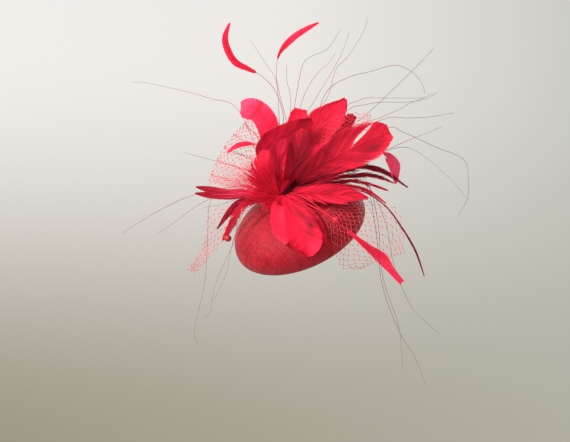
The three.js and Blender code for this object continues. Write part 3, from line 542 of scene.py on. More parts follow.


# The centre petals stand up before the rest: a dark one, cupped and in the shade, and a bright one
# that turns its edge to the front beside it.
# Its spots paint shade on its right side and light near its tip at the left.
make_feather("petal_centre_dark", "wine", 70, 12.2, [
    [-14, -43, 66, 7, 8, -6, 0.12],
    [-7, -50, 83, 11, 14, -8, 0.12],
    [-1, -51, 101, 15, 18, -8, 0.12],
    [2, -47, 115, 13, 13, -8, 0.12],
    [4, -43, 125, 4, 4, -6, 0.12],
], tone=(0.42, 0.42), lean=3.6, edge=0.03, shaft=0.2, streak=0.04, fold=0.02,
   dips=[(0.6, 0.6, 0.3, 0.4, 0.1), (0.9, -0.4, 0.2, 0.7, -0.16)])
make_feather("petal_centre_left", "scarlet", 112, 12.2, [
    [-28, -42, 68, 10, 8, 14, 0.3],
    [-27, -54, 90, 13, 11, 18, 0.3],
    [-23, -57, 105, 8, 8, 20, 0.3],
    [-19, -56, 113, 1.2, 1.2, 20, 0.2],
], tone=(0.52, 0.5), lean=3.0, pull=0.1, jag=0.05, shaft=0.3, streak=0.08)


# The right petals spread to the side: a long low one with torn pointed barbs, a large cupped one
# whose far edge turns back to the light, and a darker one that stands behind it.
make_feather("petal_right_lower", "rose", 0, 12.2, [
    [6, -42, 45, 8, 8, 15, 0.15],
    [31, -50, 43, 15, 15, 25, 0.15],
    [57, -49, 42, 13, 12, 25, 0.15],
    [85, -42, 39, 1, 1, 20, 0.1],
], tone=(0.42, 0.7), lean=2.8, clump=11, pull=0.4, jag=0.28, streak=0.08, torn=1, shaft=0.4)
# Its spots of painted shade darken the hollow of its cup.
make_feather("petal_right_large", "scarlet", 28, 9.6, [
    [6, -28, 67, 10, 10, 8, 0.2],
    [34, -26, 84, 19, 18, 8, 0.2],
    [62, -21, 99, 26, 25, 8, 0.25],
    [87, -17, 110, 23, 24, 8, 0.35],
    [104, -15, 118, 17, 15, 8, 0.4],
    [112, -14, 122, 9, 8, 8, 0.3],
], tone=(0.34, 0.64), lean=1.5, edge=0.14, slits=[(-1, 0.57, 0.1, 0.9, 0.06)], shaft=0.4,
   streak=0.05, fold=0.06, dips=[(0.72, 0.45, 0.12, 0.25, 0.2), (0.55, -0.7, 0.15, 0.3, 0.12)])
make_feather("petal_right_back", "wine", 38, 7, [
    [18, -2, 87, 12, 12, 0, 0.15],
    [40, 6, 113, 16, 12, 0, 0.15],
    [56, 10, 131, 13, 9, 0, 0.15],
    [68, 12, 143, 4, 4, 0, 0.1],
], tone=(0.4, 0.62), pull=0.2, jag=0.1, torn=-1)


# The upper petals fan out at the top: one broad and square ended, one small behind it, a dark one
# laid across, and a narrow one at the left that folds over at its end.
make_feather("petal_upper_right", "rose", 62, 7, [
    [-4, -14, 80, 11, 10, -6, 0.15],
    [12, -10, 109, 20, 19, -8, 0.2],
    [26, -6, 131, 21, 20, -8, 0.2],
    [40, -4, 147, 13, 19, -8, 0.2],
    [50, -3, 157, 6, 11, -8, 0.15],
    [56, -3, 164, 1.5, 3, -8, 0.1],
], tone=(0.62, 0.86), lean=1.2, shaft=0.4, fold=0.07)
make_feather("petal_small_top", "rose", 66, 4.4, [
    [-13, 4, 93, 8, 8, 0, 0.15],
    [-7, 10, 122, 12, 11, 0, 0.2],
    [-1, 12, 142, 12, 10, 0, 0.2],
    [1, 12, 151, 8, 7, 0, 0.1],
], tone=(0.62, 0.92), shaft=0.4)
make_feather("petal_top_dark", "wine", 128, 7, [
    [-43, -14, 80, 9, 9, 0, 0.1],
    [-41, -16, 104, 14, 14, -10, 0.1],
    [-19, -20, 119, 13, 18, -15, 0.15],
    [2, -24, 129, 10, 14, -15, 0.15],
    [15, -24, 136, 3, 3, -10, 0.1],
], tone=(0.6, 0.5), start=0.1)
# Its tip is painted pinker, for light shining through it, and a narrow band of painted shade marks its
# fold.
make_feather("petal_upper_left", "rose", 110, 4.4, [
    [-34, 2, 89, 8, 8, 0, 0.1],
    [-37, 8, 116, 14, 13, -5, 0.15],
    [-43, 8, 134, 14, 15, -5, 0.15],
    [-51, 9, 147, 15, 13, -8, 0.1],
    [-61, 12, 153, 17, 12, -10, 0.1],
    [-70, 16, 154, 15, 10, -10, 0.1],
    [-75, 18, 154, 9, 6, -10, 0.1],
], tone=(0.66, 1.05), widen=1.0, shaft=0.3, ragged=0.01, jag=0.0, lean=0.9,
   dips=[(0.66, 0.0, 0.018, 2.0, 0.22)])


# The left petal is a soft downy one that fills the side, and two plain ones cover the stems behind.
make_feather("petal_left", "scarlet", 150, 9.6, [
    [-39, -30, 60, 11, 12, 6, 0.15],
    [-46, -31, 75, 17, 16, 8, 0.15],
    [-46, -28, 88, 12, 15, 10, 0.15],
    [-44, -25, 99, 4, 5, 10, 0.1],
], tone=(0.7, 0.7), ragged=0.2, clump=6, pull=0.4, jag=0.35, ripple=1.6, widen=1.15, lean=1.6, streak=0.07)
make_feather("petal_back_left", "scarlet", 133, 4.4, [
    [-34, 16, 80, 10, 10, 35, 0.1],
    [-42, 38, 94, 16, 16, 40, 0.1],
    [-45, 56, 99, 13, 13, 45, 0.1],
    [-46, 68, 98, 2, 2, 45, 0.1],
], tone=(0.5, 0.8), ragged=0.06)
make_feather("petal_back_right", "scarlet", 60, 1.6, [
    [4, 18, 80, 9, 9, -30, 0.1],
    [20, 40, 96, 16, 16, -35, 0.1],
    [30, 60, 102, 13, 13, -40, 0.1],
    [34, 74, 100, 2, 2, -40, 0.1],
], tone=(0.5, 0.8), ragged=0.06)


# Coque feathers come from a rooster: narrow, glossy and pointed. Two lie out to the left, and two
# stand on stems stripped bare, with the vane left only at the end.
make_feather("coque_left_upper", "wine", 172, 4.4, slim([
    [-65, -12, 46, 3, 0.1],
    [-90, -7, 46, 4, 0.1],
    [-115, -4, 50, 4, 0.1],
    [-131, -2, 53, 0.8, 0.1],
]), tone=(0.55, 0.42), spacing=0.7, lean=2.5, ragged=0.05, ripple=0.3)
make_feather("coque_left_lower", "wine", 180, 7, slim([
    [-65, -21, 42, 3, 0.1],
    [-90, -15, 41, 4, 0.1],
    [-115, -12, 43, 4, 0.1],
    [-132, -10, 45, 0.8, 0.1],
]), tone=(0.55, 0.42), spacing=0.7, lean=2.5, ragged=0.05, ripple=0.3)
make_feather("coque_top_left", "scarlet", 126, 1.6, slim([
    [-26, 16, 92, 0.7, 0],
    [-21, 20, 137, 0.7, 0],
    [-30, 22, 171, 0.7, 0],
    [-48, 23, 192, 0.9, 0],
    [-65, 22, 201, 3, 0.1],
    [-82, 20, 210, 4.2, 0.1],
    [-92, 17, 227, 4.2, 0.1],
    [-94, 15, 242, 3.6, 0.1],
    [-88, 13, 260, 0.9, 0.1],
]), start=0.54, tone=(0.78, 0.9), spacing=0.6, lean=2.0, ripple=0.2, shaft=0.42, shaft_tone=-0.35)
make_feather("coque_top_right", "scarlet", 86, 6.2, slim([
    [-17, 14, 88, 0.7, 0],
    [-15, 22, 122, 0.7, 0],
    [-28, 30, 178, 0.7, 0],
    [-30, 31, 200, 0.7, 0],
    [-27, 31, 219, 1.6, 0],
    [-18, 30, 232, 3.8, 0.1],
    [-6, 28, 243, 4, 0.1],
    [10, 27, 253, 3, 0.1],
    [24, 26, 260, 0.9, 0.1],
]), start=0.57, tone=(0.78, 0.95), spacing=0.6, lean=2.0, ripple=0.2, shaft=0.42, shaft_tone=-0.35)


# Small goose feathers are cut to shape with scissors: a leaf at the left, a kite at the right, and
# a long arrow with a square end that lies out over the lower right.
make_feather("leaf_feather_left", "rose", 153, 7, slim([
    [-47, -1, 88, 0.8, 0],
    [-57, 0, 105, 1, 0],
    [-67, 0, 107, 2.8, 0.1],
    [-80, -2, 104, 3.2, 0.1],
    [-92, -4, 95, 0.8, 0.1],
]), start=0.5, tone=(0.85, 1.0), spacing=0.6, ragged=0.02, ripple=0.2)
# Its tone above 1 paints it pinker, for light shining through the thin vane.
make_feather("cut_feather_right", "rose", 30, 4.4, [
    [37, -2, 76, 0.8, 0.8, 0, 0],
    [81, 4, 88, 0.8, 0.8, 0, 0],
    [101, 4, 95, 0.8, 0.8, 15, 0],
    [112, 3, 93, 2.8, 10, 35, 0],
    [117, 3, 81, 9.5, 9, 35, 0],
    [119, 3, 67, 5.5, 5.5, 35, 0],
    [119, 3, 56, 0.9, 0.9, 35, 0],
], start=0.52, tone=(1.12, 1.2), spacing=0.6, ragged=0.0, ripple=0.2, edge=0.0, lean=0.4, shaft=0.45)
make_feather("arrow_feather_right", "rose", -44, 12.2, slim([
    [18, -70, 27, 0.8, 0],
    [44, -74, 10, 1, 0],
    [66, -68, -8, 2.4, 0],
    [87, -57, -25, 4.8, 0.1],
    [101, -48, -36, 7, 0.1],
    [113, -41, -51, 4.5, 0.1],
    [127, -34, -67, 3.4, 0],
]), start=0.45, tone=(0.85, 1.0), spacing=0.6, ragged=0.02, ripple=0.2, lean=1.6)


# Hackle feathers are thin and dark, with long loose barbs at their root. One hangs in a fine curve
# at the right, two hang at the lower left, and a tuft of four lies out to the right.
make_feather("thin_feather_right", "wine", -14, 9.6, slim([
    [37, -34, 52, 0.8, 0],
    [77, -26, 47, 0.9, 0],
    [106, -16, 29, 1.2, 0],
    [128, -12, 0, 1.6, 0],
    [144, -12, -28, 1.8, 0],
    [155, -13, -60, 0.7, 0],
]), start=0.3, tone=(0.35, 0.3), spacing=0.6, lean=3.5, ragged=0.1, ripple=0.1, widen=0.8, shaft=0.5)
make_feather("hackle_left_dark", "wine", 198, 4.4, slim([
    [-72, -27, 35, 4, 0.1],
    [-87, -25, 23, 4.5, 0.1],
    [-97, -24, 10, 2.5, 0.1],
    [-104, -23, 0, 0.7, 0.1],
]), tone=(0.4, 0.35), spacing=0.7, lean=2.4, ragged=0.1, ripple=0.3)
make_feather("hackle_left_fluffy", "scarlet", 206, 9.6, [
    [-67, -38, 32, 6, 7, 0, 0.1],
    [-80, -38, 16, 6, 7, 0, 0.1],
    [-89, -37, -1, 5, 5, 0, 0.1],
    [-97, -36, -14, 1.5, 1.5, 0, 0.1],
], tone=(0.5, 0.62), spacing=0.8, lean=2.2, ragged=0.3, ripple=1.5)


def make_tuft():
    """Four strands side by side, the darkest highest, their barbs long and loose."""
    strands = [
        [[37, -12, 68, 2.6, 0], [75, -4, 78, 3.2, 0], [106, 0, 71, 2.4, 0], [135, 2, 52, 0.6, 0]],
        [[37, -16, 62, 2.4, 0], [77, -11, 68, 2.4, 0], [100, -7, 65, 2, 0], [117, -5, 57, 0.6, 0]],
        [[32, -19, 57, 2, 0], [64, -18, 60, 2, 0], [87, -14, 56, 1.8, 0], [110, -11, 48, 0.6, 0]],
        [[37, -26, 54, 2, 0], [62, -24, 54, 2, 0], [85, -20, 47, 1.8, 0], [107, -19, 32, 0.6, 0]],
    ]
    parts = [vane(bound_rows(4, 6.6, slim(strand)), tone=(0.42, tip_tone), spacing=0.8, lean=5,
                  ragged=0.25, ripple=0.2, clump=5, pull=0.3, jag=0.3, widen=1.9)
             for strand, tip_tone in zip(strands, (0.32, 0.38, 0.48, 0.58))]
    tones = np.concatenate([part[2] for part in parts])
    uvs = np.vstack([part[3] for part in parts])
    tuft = finish_piece("hackle_tuft_right_vanes", *gather(parts), FEATHER_DYE_AND_SHADE, [("tone", tones)], uvs,
                        smooth=False)
    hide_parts("hackle_tuft_right")


make_tuft()


# The roots of the feathers are downy: their longest, softest barbs aren't hooked together, and fan
# out loose round the knot, red at the left and under the petals; where they lie in shade, that
# shade is painted dark into their tone.
LOOSE = ("turn", "level", "low", "high", "front_low", "front_high", "short", "long", "bend",
         "count", "dark", "bright")
LOOSE_STEPS = 8


def on_dome(points, clear=0.8):
    """Points that would lie in the base, lifted to its surface."""
    local = points @ WORN
    share = np.hypot(local[..., 0] / HALF_LENGTH, local[..., 1] / HALF_WIDTH)
    top = HEIGHT * np.clip(1 - share ** FULLNESS, 0, 1) ** (1 / FULLNESS) + clear
    under = (share < 1) & (local[..., 2] < top)
    local[..., 2] = np.where(under, top, local[..., 2])
    return local @ WORN.T


def strips(path, across, normal, width, thick):
    """Slim closed strips along paths: points (strip, step, 4, 3) of their diamond sections."""
    side = across * width[..., None]
    ridge = normal * thick[..., None]
    return np.stack([path - side, path + ridge, path + side, path - ridge], axis=2)


def make_loose(name, fans, half=0.32):
    """Fans of loose barbs from the knot. low and high are angles in the front view, from the right."""
    points, faces, tones, base = [], [], [], 0
    steps = LOOSE_STEPS
    for fan in fans:
        of = dict(zip(LOOSE, fan))
        count = of["count"]
        angle = np.radians(rng.uniform(of["low"], of["high"], count))
        front = rng.uniform(of["front_low"], of["front_high"], count)
        length = rng.uniform(of["short"], of["long"], count)
        heading = np.stack([np.cos(angle), -front, np.sin(angle)], axis=-1)
        heading /= np.linalg.norm(heading, axis=-1)[:, None]
        turns = of["turn"] + rng.normal(0, 14, count)
        levels = np.clip(of["level"] + rng.normal(0, 1, count), 3, KNOT_HEIGHT - 1)
        roots = np.array([on_knot(turn, level, 0.1) for turn, level in zip(turns, levels)])
        swing = np.cross(heading, [0, 1, 0])
        swing /= np.linalg.norm(swing, axis=-1)[:, None]
        curl = (rng.normal(0, of["bend"], count) * length)[:, None, None]
        deep = (rng.normal(0, of["bend"] * 0.6, count) * length)[:, None, None]
        u = np.linspace(0, 1, steps)[None, :, None]
        path = roots[:, None] + heading[:, None] * length[:, None, None] * u
        path = path + swing[:, None] * curl * u ** 2 + np.array([0, 1, 0]) * deep * u ** 2
        path = on_dome(path + swing[:, None] * np.sin(u * 9 + angle[:, None, None] * 40) * 0.35)
        along = np.gradient(path, axis=1)
        along /= np.linalg.norm(along, axis=-1)[..., None]
        normal = np.array([0, -1.0, 0]) + along * along[..., 1:2]
        normal /= np.linalg.norm(normal, axis=-1)[..., None]
        across = np.cross(along, normal)
        taper = np.interp(np.linspace(0, 1, steps), [0, 0.3, 1], [0.8, 1, 0.15])
        width = half * taper[None] * rng.uniform(0.7, 1.2, count)[:, None]
        ring = strips(path, across, normal, width, width * 0.5)
        points.append(ring.reshape(-1, 3))
        faces += strip_faces(count, steps, base)
        base += count * steps * 4
        paling = np.interp(np.linspace(0, 1, steps), [0, 0.35, 1], [0.92, 1, 1.05])
        shade = rng.uniform(of["dark"], of["bright"], count)[:, None] * paling[None]
        tones.append(np.repeat(shade[..., None], 4, axis=2).ravel())
    everything = np.vstack(points)
    piece = finish_piece(name, everything, faces, FEATHER_DYE_AND_SHADE, [("tone", np.concatenate(tones))],
                         everything[:, [0, 2]])


make_loose("down_left", [
    [240, 11.5, 100, 150, 0.2, 0.7, 25, 64, 0.06, 420, 0.66, 0.9],
    [240, 11, 140, 182, 0.1, 0.6, 18, 46, 0.08, 320, 0.66, 0.9],
    [240, 10.5, 180, 232, 0.2, 0.7, 12, 30, 0.12, 240, 0.6, 0.85],
    [290, 11.5, 60, 104, 0.2, 0.5, 12, 38, 0.12, 200, 0.5, 0.7],
    [270, 12, 228, 290, 0.6, 0.95, 8, 24, 0.12, 170, 0.5, 0.8],
], 0.42)
make_loose("down_back", [
    [90, 9, 30, 150, -0.9, -0.2, 10, 34, 0.12, 260, 0.45, 0.75],
    [20, 9, -20, 50, -0.7, 0.1, 10, 30, 0.12, 140, 0.3, 0.6],
], 0.4)
make_loose("barbs_left_long", [
    [200, 9, 148, 180, 0.0, 0.4, 45, 92, 0.05, 130, 0.9, 1.25],
    [200, 9, 118, 150, 0.0, 0.4, 45, 74, 0.06, 70, 0.85, 1.2],
], 0.2)
# These barbs are painted dark: the shade they lie in is painted into their tone.
make_loose("down_right_in_shade", [
    [10, 11, 2, 26, -0.05, 0.35, 30, 88, 0.05, 260, 0.05, 0.32],
    [10, 12, 4, 44, 0.2, 0.6, 8, 26, 0.06, 170, 0.02, 0.18],
    [-50, 13, 5, 48, 0.5, 0.9, 6, 17, 0.05, 130, 0.02, 0.16],
    [-10, 11, -30, 4, 0.35, 0.8, 20, 50, 0.08, 90, 0.1, 0.35],
])
make_loose("down_right_red", [
    [-30, 12, -42, 6, 0.45, 0.9, 25, 74, 0.06, 90, 0.6, 0.9],
    [0, 12, 0, 24, 0.1, 0.4, 40, 90, 0.05, 60, 0.45, 0.75],
], 0.26)


# Burnt peacock quills have had their barbs stripped, and leave only fine springy stems. They are
# bound in three sprays and fly out on every side, browner and thinner towards their ends.
QUILL_RADIUS, QUILL_TIP, QUILL_SIDES = 0.42, 0.2, 5


def quill_finish():
    material, tree, shader = new_material("stripped_quill", 0.5)
    tone = tone_of(tree)
    colour = colour_ramp(tree, tone, [
        (0.0, (0.45, 0.02, 0.04)),
        (0.4, (0.35, 0.08, 0.09)),
        (1.0, (0.20, 0.13, 0.12)),
    ])
    tree.links.new(colour, shader.inputs["Base Color"])
    return material


QUILL_FINISH = quill_finish()


def make_spray(node, turn, level, quills):
    """Quills from one head at the knot, each through its own places."""
    head = on_knot(turn, level, 2.4)
    parts, tones = [], []
    for quill in quills:
        run = np.linspace(0, 1, 6 * len(quill))
        path = curve_at(np.array([head, *quill], dtype=float), run)
        parts.append(tube(path, np.interp(run, [0, 1], [QUILL_RADIUS, QUILL_TIP]), QUILL_SIDES))
        tones.append(np.repeat(run, QUILL_SIDES))
    spray = finish_piece(node + "_stems", *gather(parts), QUILL_FINISH, [("tone", np.concatenate(tones))])
    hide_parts(node)


make_spray("quill_spray_top", 95, 1.8, [
    [[-12, 28, 88], [0, 32, 130], [18, 26, 162], [38, 18, 195], [53, 10, 223], [61, 6, 247]],
    [[-10, 30, 88], [8, 38, 130], [34, 46, 166], [45, 54, 202], [61, 62, 219], [81, 74, 252],
     [85, 80, 269]],
    [[-22, 30, 88], [-26, 36, 130], [-30, 42, 185], [-41, 50, 205], [-54, 60, 225], [-63, 66, 239]],
    [[-16, 26, 88], [-14, 28, 125], [-12, 26, 164], [-17, 22, 187], [-17, 18, 208]],
    [[-14, 26, 96], [0, 22, 153], [8, 18, 175], [21, 10, 195], [35, 2, 208], [44, -4, 221]],
    [[-16, 24, 90], [-8, 22, 150], [-0.5, 20, 193], [4, 16, 208], [12, 12, 216], [34, 6, 226], [47, 2, 245],
     [51, 0, 251]],
])
make_spray("quill_spray_right", 22, 1.8, [
    [[12, 22, 104], [30, 36, 168], [57, 48, 190], [91, 66, 200], [120, 84, 208], [142, 96, 200],
     [155, 104, 185], [159, 108, 172]],
    [[24, 24, 100], [80, 34, 142], [127, 56, 186], [157, 72, 216], [169, 78, 229]],
    [[30, 22, 94], [100, 32, 137], [137, 40, 140], [165, 48, 142], [194, 56, 147]],
    [[32, 20, 86], [106, 24, 126], [129, 28, 122], [169, 38, 104], [206, 50, 88], [212, 54, 61],
     [211, 56, 39], [200, 56, 18]],
    [[36, 18, 80], [86, 14, 91], [128, 10, 103], [156, -10, 90], [189, -30, 60], [208, -40, 37]],
    [[30, 16, 74], [80, 18, 64], [97, 14, 10], [101, 12, -45], [108, 10, -77], [123, 8, -121],
     [128, 6, -171]],
    [[26, 18, 72], [78, 26, 62], [94, 24, 4], [102, 24, -66], [123, 34, -126], [144, 44, -161],
     [158, 50, -196]],
    [[34, 10, 70], [82, 10, 56], [106, 4, 10], [117, 0, -45], [137, -6, -94], [155, -12, -114],
     [174, -18, -131]],
    [[28, 22, 90], [70, 30, 128], [100, 24, 140], [123, 20, 150], [137, 18, 158], [152, 16, 164],
     [166, 14, 170]],
    [[30, 20, 84], [86, 10, 90], [109, 6, 100], [139, 0, 113], [157, -4, 120], [178, -8, 129]],
    [[20, 22, 96], [53, 24, 150], [72, 26, 161], [83, 28, 165], [103, 30, 165], [157, 38, 165]],
    [[22, 24, 98], [58, 32, 148], [83, 36, 157], [103, 40, 160], [132, 44, 160], [157, 48, 164],
     [174, 50, 173]],
])
make_spray("quill_spray_left", 158, 1.8, [
    [[-44, 20, 76], [-78, 28, 150], [-111, 36, 164], [-154, 50, 176], [-194, 64, 185], [-214, 72, 186]],
    [[-70, 4, 54], [-132, 2, 43], [-166, -8, 29], [-202, -22, 8], [-222, -30, -5]],
    [[-68, 8, 52], [-120, 16, 35], [-163, 26, 5], [-182, 32, -7]],
    [[-66, 6, 50], [-96, 8, 46], [-113, 8, 34], [-116, 10, -3], [-118, 12, -47], [-122, 16, -78],
     [-133, 22, -126], [-130, 24, -142]],
    [[-50, 14, 66], [-80, 20, 78], [-111, 26, 87], [-148, 32, 97]],
    [[-60, 6, 48], [-82, 8, 37], [-101, 10, 31], [-123, 12, 27]],
    [[-62, 4, 40], [-78, -2, 10], [-84, -4, -18], [-99, -6, -51], [-108, -8, -75], [-112, -10, -102],
     [-120, -12, -111]],
    [[-60, -2, 38], [-76, -10, 10], [-87, -14, -27], [-92, -16, -53], [-106, -18, -85]],
])


# Stamens are flocked balls on thin wire stalks. Their wires are bound in at the front of the knot,
# one each side, and bend out over the base. The left ball is darker and a little larger.
STALK_RADIUS = 0.45


def make_stamen(node, turn, radius, stalk, dark, bright):
    """A stalk through its places, with a ball at the last, mottled between two reds."""
    root = on_knot(turn, 12.2, 0.7)
    run = np.linspace(0, 1, 24)
    path = curve_at(np.array([root, *stalk], dtype=float), run)
    head = bpy.data.meshes.new(node)
    centre = Vector(stalk[-1])
    form = bmesh.new()
    bmesh.ops.create_uvsphere(form, u_segments=32, v_segments=20, radius=radius)
    form.to_mesh(head)
    form.free()
    ball = (np.array([vertex.co + centre for vertex in head.vertices]),
            sorted(tuple(polygon.vertices) for polygon in head.polygons))
    bpy.data.meshes.remove(head)
    material = dyed(node + "_flock", dark, bright, 0.4, 1200, sheen=0.0)
    stamen = finish_piece(node + "_bead", *gather([tube(path, STALK_RADIUS, 6), ball]), material)
    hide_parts(node)


make_stamen("stamen_left", 228, 4.4, [[-62, -50, 32], [-82, -51, 9], [-90, -50, -11]],
            (0.20, 0.001, 0.006), (0.50, 0.003, 0.015))
make_stamen("stamen_right", -22, 3.8, [[4, -54, 40], [24, -64, 26], [43, -60, 12]],
            (0.65, 0.004, 0.02), (1.0, 0.015, 0.06))


# The veil is a strip of fine diamond net, knotted at each crossing. It is gathered into a pouf and
# a tail beside the feathers at the left, and fanned out at the right and over the upper petals.
NET_THREAD, NET_KNOT, NET_SAG = 0.17, 0.72, 0.35
BEAD_CORNERS = np.array([[-1, 0, 0], [0, -1, 0], [1, 0, 0], [0, 1, 0], [0, 0, 1], [0, 0, -1]])


def net_finish():
    material, tree, shader = new_material("net_thread", 0.6, specular=0.15)
    place = add_node(tree, "ShaderNodeTexCoord").outputs["Object"]
    cloud = noise(tree, place, 60.0, 2.0)
    knot = tone_of(tree)
    shade = maths(tree, "SUBTRACT", cloud.outputs[0], maths(tree, "MULTIPLY", knot, 0.4))
    colour = colour_ramp(tree, shade, [(0.1, (0.50, 0.010, 0.030)), (0.55, (0.95, 0.13, 0.18))])
    tree.links.new(colour, shader.inputs["Base Color"])
    return material


NET_FINISH = net_finish()


def make_net(name, node, rows, cells, crumple=2.0, folds=0, bow=0.0):
    """A net of so many cells across and down. A row is x, y and z at one edge and at the other, and
    how far it bulges forward between them. crumple waves it, folds pleat it, and bow rounds its end."""
    rows = np.array(rows, dtype=float)
    wide, long = cells
    out = (rows[-1, :3] + rows[-1, 3:6] - rows[0, :3] - rows[0, 3:6]) / 2
    out /= np.linalg.norm(out)

    def place(s, t):
        row = curve_at(rows, np.array([t]))[0]
        if folds:
            s = s + 0.85 * sin(2 * pi * folds * s) / (2 * pi * folds)
        point = row[:3] * (1 - s) + row[3:6] * s + out * bow * t * sin(pi * s)
        point[1] -= row[6] * sin(pi * s)
        wave = crumple * (0.3 + t) * sin(9 * s + 5 * t) * cos(4 * s - 7 * t)
        return point + np.array([0.3, 1, 0.3]) * wave

    knots = {}
    for j in range(long * 2 + 1):
        for i in range(wide * 2 + 1):
            if (i + j) % 2 == 0:
                s = min(max(i / (wide * 2) + rng.normal(0, 0.01), 0), 1)
                t = min(max(j / (long * 2) + rng.normal(0, 0.006), 0), 1)
                knots[i, j] = place(s, t)
    parts, tones = [], []
    for (i, j), here in knots.items():
        for di, dj in ((1, 1), (-1, 1)):
            there = knots.get((i + di, j + dj))
            if there is None:
                continue
            middle = (here + there) / 2 + np.array([0, 0, -NET_SAG])
            parts.append(tube([here, middle, there], NET_THREAD, 4))
            tones.append(np.zeros(12))
        bead = NET_KNOT * BEAD_CORNERS + here
        sides = [(a, (a + 1) % 4) for a in range(4)]
        parts.append((bead, [(a, b, 4) for a, b in sides] + [(b, a, 5) for a, b in sides]))
        tones.append(np.ones(6))
    net = finish_piece(name, *gather(parts), NET_FINISH, [("tone", np.concatenate(tones))])
    if node:
        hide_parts(node)


make_net("veil_left_upper_net", "veil_left_upper", [
    [-46, 2, 58, -40, 14, 96, 2],
    [-74, 4, 54, -50, 20, 122, 8],
    [-100, 8, 56, -58, 24, 134, 12],
    [-115, 12, 60, -64, 28, 140, 8],
], (19, 9), 2.0, folds=5, bow=7)
make_net("veil_left_lower_net", "veil_left_lower", [
    [-50, -5, 26, -52, 6, 33, 0],
    [-84, -18, 10, -112, -4, 26, 4],
    [-98, -14, -16, -116, -4, 0, 4],
    [-116, -10, -38, -124, -4, -24, 3],
    [-132, -8, -54, -140, -4, -50, 1],
], (4, 10))
make_net("veil_right_net", "veil_right", [
    [26, -60, 18, 46, -38, 38, 0],
    [36, -62, -6, 74, -33, 38, 4],
    [43, -64, -30, 100, -28, 34, 6],
    [52, -60, -48, 124, -26, 20, 8],
    [76, -50, -48, 130, -26, -28, 6],
], (12, 9))
make_net("veil_top_net", None, [
    [14, -9, 100, 22, -6, 132, 1],
    [36, -10, 106, 44, -6, 142, 2],
    [60, -9, 114, 66, -4, 146, 2],
    [84, -8, 124, 88, -4, 144, 1],
], (7, 7), 1.0)


# The room is a plain floor that turns up into a round wall that glows by itself, painted light that
# is bright at its top and dark lower down.
# One large soft light stands at the left, with weak ones in front and behind, under a pale sky.
FLOOR_Z, WALL_RADIUS, TURN_UP, WALL_TOP, WALL_SIDES = -900, 8500, 1500, 6000, 96
PALE_FROM, PALE_TO = -0.70, -0.88
AIM = Vector((0, 0, 0.03))


def blended(tree, value, start, end, first, second):
    """One colour that goes over softly into the other as the value goes from start to end."""
    rise = add_node(tree, "ShaderNodeMapRange", [("interpolation_type", "SMOOTHSTEP")],
                    i0=value, i1=start, i2=end)
    mix = add_node(tree, "ShaderNodeMix", [("data_type", "RGBA")], i0=rise.outputs[0], i6=first, i7=second)
    return mix.outputs[2]


def wall_glow():
    """A wall that glows by itself, painted light that is dark below, light above and graded from side
    to side, with a paler floor that glows evenly.
    """
    material, tree, shader = new_material("glowing_wall", 0.9, specular=0.1)
    place = add_node(tree, "ShaderNodeTexCoord").outputs["Object"]
    parts = add_node(tree, "ShaderNodeSeparateXYZ", Vector=place)
    across = maths(tree, "ADD", maths(tree, "MULTIPLY", parts.outputs[0], 0.58), 0.51)
    height = maths(tree, "ADD", maths(tree, "MULTIPLY", parts.outputs[2], 0.75), 0.5)
    low = colour_ramp(tree, across, [(0.0, (0.29, 0.26, 0.19)), (1.0, (0.41, 0.39, 0.33))])
    high = colour_ramp(tree, across, [
        (0.0, (0.91, 0.88, 0.86)),
        (0.5, (0.87, 0.84, 0.82)),
        (1.0, (0.60, 0.60, 0.56)),
    ])
    wall = blended(tree, height, 0.0, 0.9, low, high)
    glow = blended(tree, parts.outputs[2], PALE_FROM, PALE_TO, wall, (0.60, 0.59, 0.56, 1))
    shader.inputs["Base Color"].default_value = (0.12, 0.12, 0.11, 1)
    tree.links.new(glow, shader.inputs["Emission Color"])
    shader.inputs["Emission Strength"].default_value = 0.88
    return material


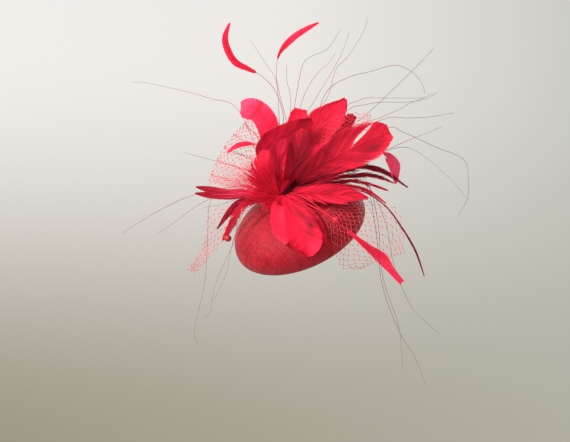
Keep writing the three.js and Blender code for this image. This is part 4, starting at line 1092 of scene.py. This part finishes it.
def make_room():
    sides, flat = WALL_SIDES, WALL_RADIUS - TURN_UP
    profile = [(flat, FLOOR_Z)]
    profile += [(flat + TURN_UP * sin(a), FLOOR_Z + TURN_UP * (1 - cos(a)))
                for a in np.linspace(0.1, pi / 2, 16)]
    profile.append((WALL_RADIUS, WALL_TOP))
    points = [(0, 0, FLOOR_Z)]
    faces = []
    for r, z in profile:
        points += [(r * cos(2 * pi * k / sides), r * sin(2 * pi * k / sides), z) for k in range(sides)]
    for k in range(sides):
        faces.append((0, 1 + k, 1 + (k + 1) % sides))
    for i in range(len(profile) - 1):
        for k in range(sides):
            a, b = 1 + i * sides + k, 1 + i * sides + (k + 1) % sides
            faces.append((a, a + sides, b + sides, b))
    mesh = bpy.data.meshes.new("room")
    mesh.from_pydata((np.array(points) * MM).tolist(), [], faces)
    mesh.polygons.foreach_set("use_smooth", [True] * len(mesh.polygons))
    mesh.materials.append(wall_glow())
    room = bpy.data.objects.new("room", mesh)
    bpy.context.collection.objects.link(room)


make_room()


def soft_light(name, place, size, power, gloss=1.0):
    """A round light that faces the fascinator. gloss is its share in highlights."""
    lamp = bpy.data.lights.new(name, "AREA")
    lamp.shape = "DISK"
    lamp.size = size
    lamp.energy = power
    lamp.specular_factor = gloss
    light = bpy.data.objects.new(name, lamp)
    light.location = place
    light.rotation_euler = (AIM - Vector(place)).to_track_quat("-Z", "Y").to_euler()
    bpy.context.collection.objects.link(light)


soft_light("window_left", (-2.2, -1.8, 1.5), 1.1, 148, 4.5)
soft_light("fill_front", (0.3, -3.2, 0.9), 1.8, 20)
soft_light("fill_back", (1.0, 2.6, 1.6), 1.6, 40)
world = bpy.data.worlds.new("sky")
world.use_nodes = True
sky = world.node_tree.nodes["Background"]
sky.inputs["Color"].default_value = (1.0, 0.98, 0.95, 1)
sky.inputs["Strength"].default_value = 0.41
bpy.context.scene.world = world


# The camera looks straight at the front from across the room, through a long lens, so that the
# quills at the sides aren't drawn out. Its place is a little left of and above the origin.
CAMERA_BACK, CAMERA_X, CAMERA_Z, LENS, SENSOR = 6.0, -0.01925, 0.0104, 303, 36
bpy.context.scene.view_settings.view_transform = "Standard"
camera = bpy.data.objects.new("camera", bpy.data.cameras.new("camera"))
camera.data.lens, camera.data.sensor_width = LENS, SENSOR
camera.data.clip_end = 100
camera.location = (CAMERA_X, -CAMERA_BACK, CAMERA_Z)
camera.rotation_euler = (radians(90), 0, 0)
bpy.context.collection.objects.link(camera)
bpy.context.scene.camera = camera
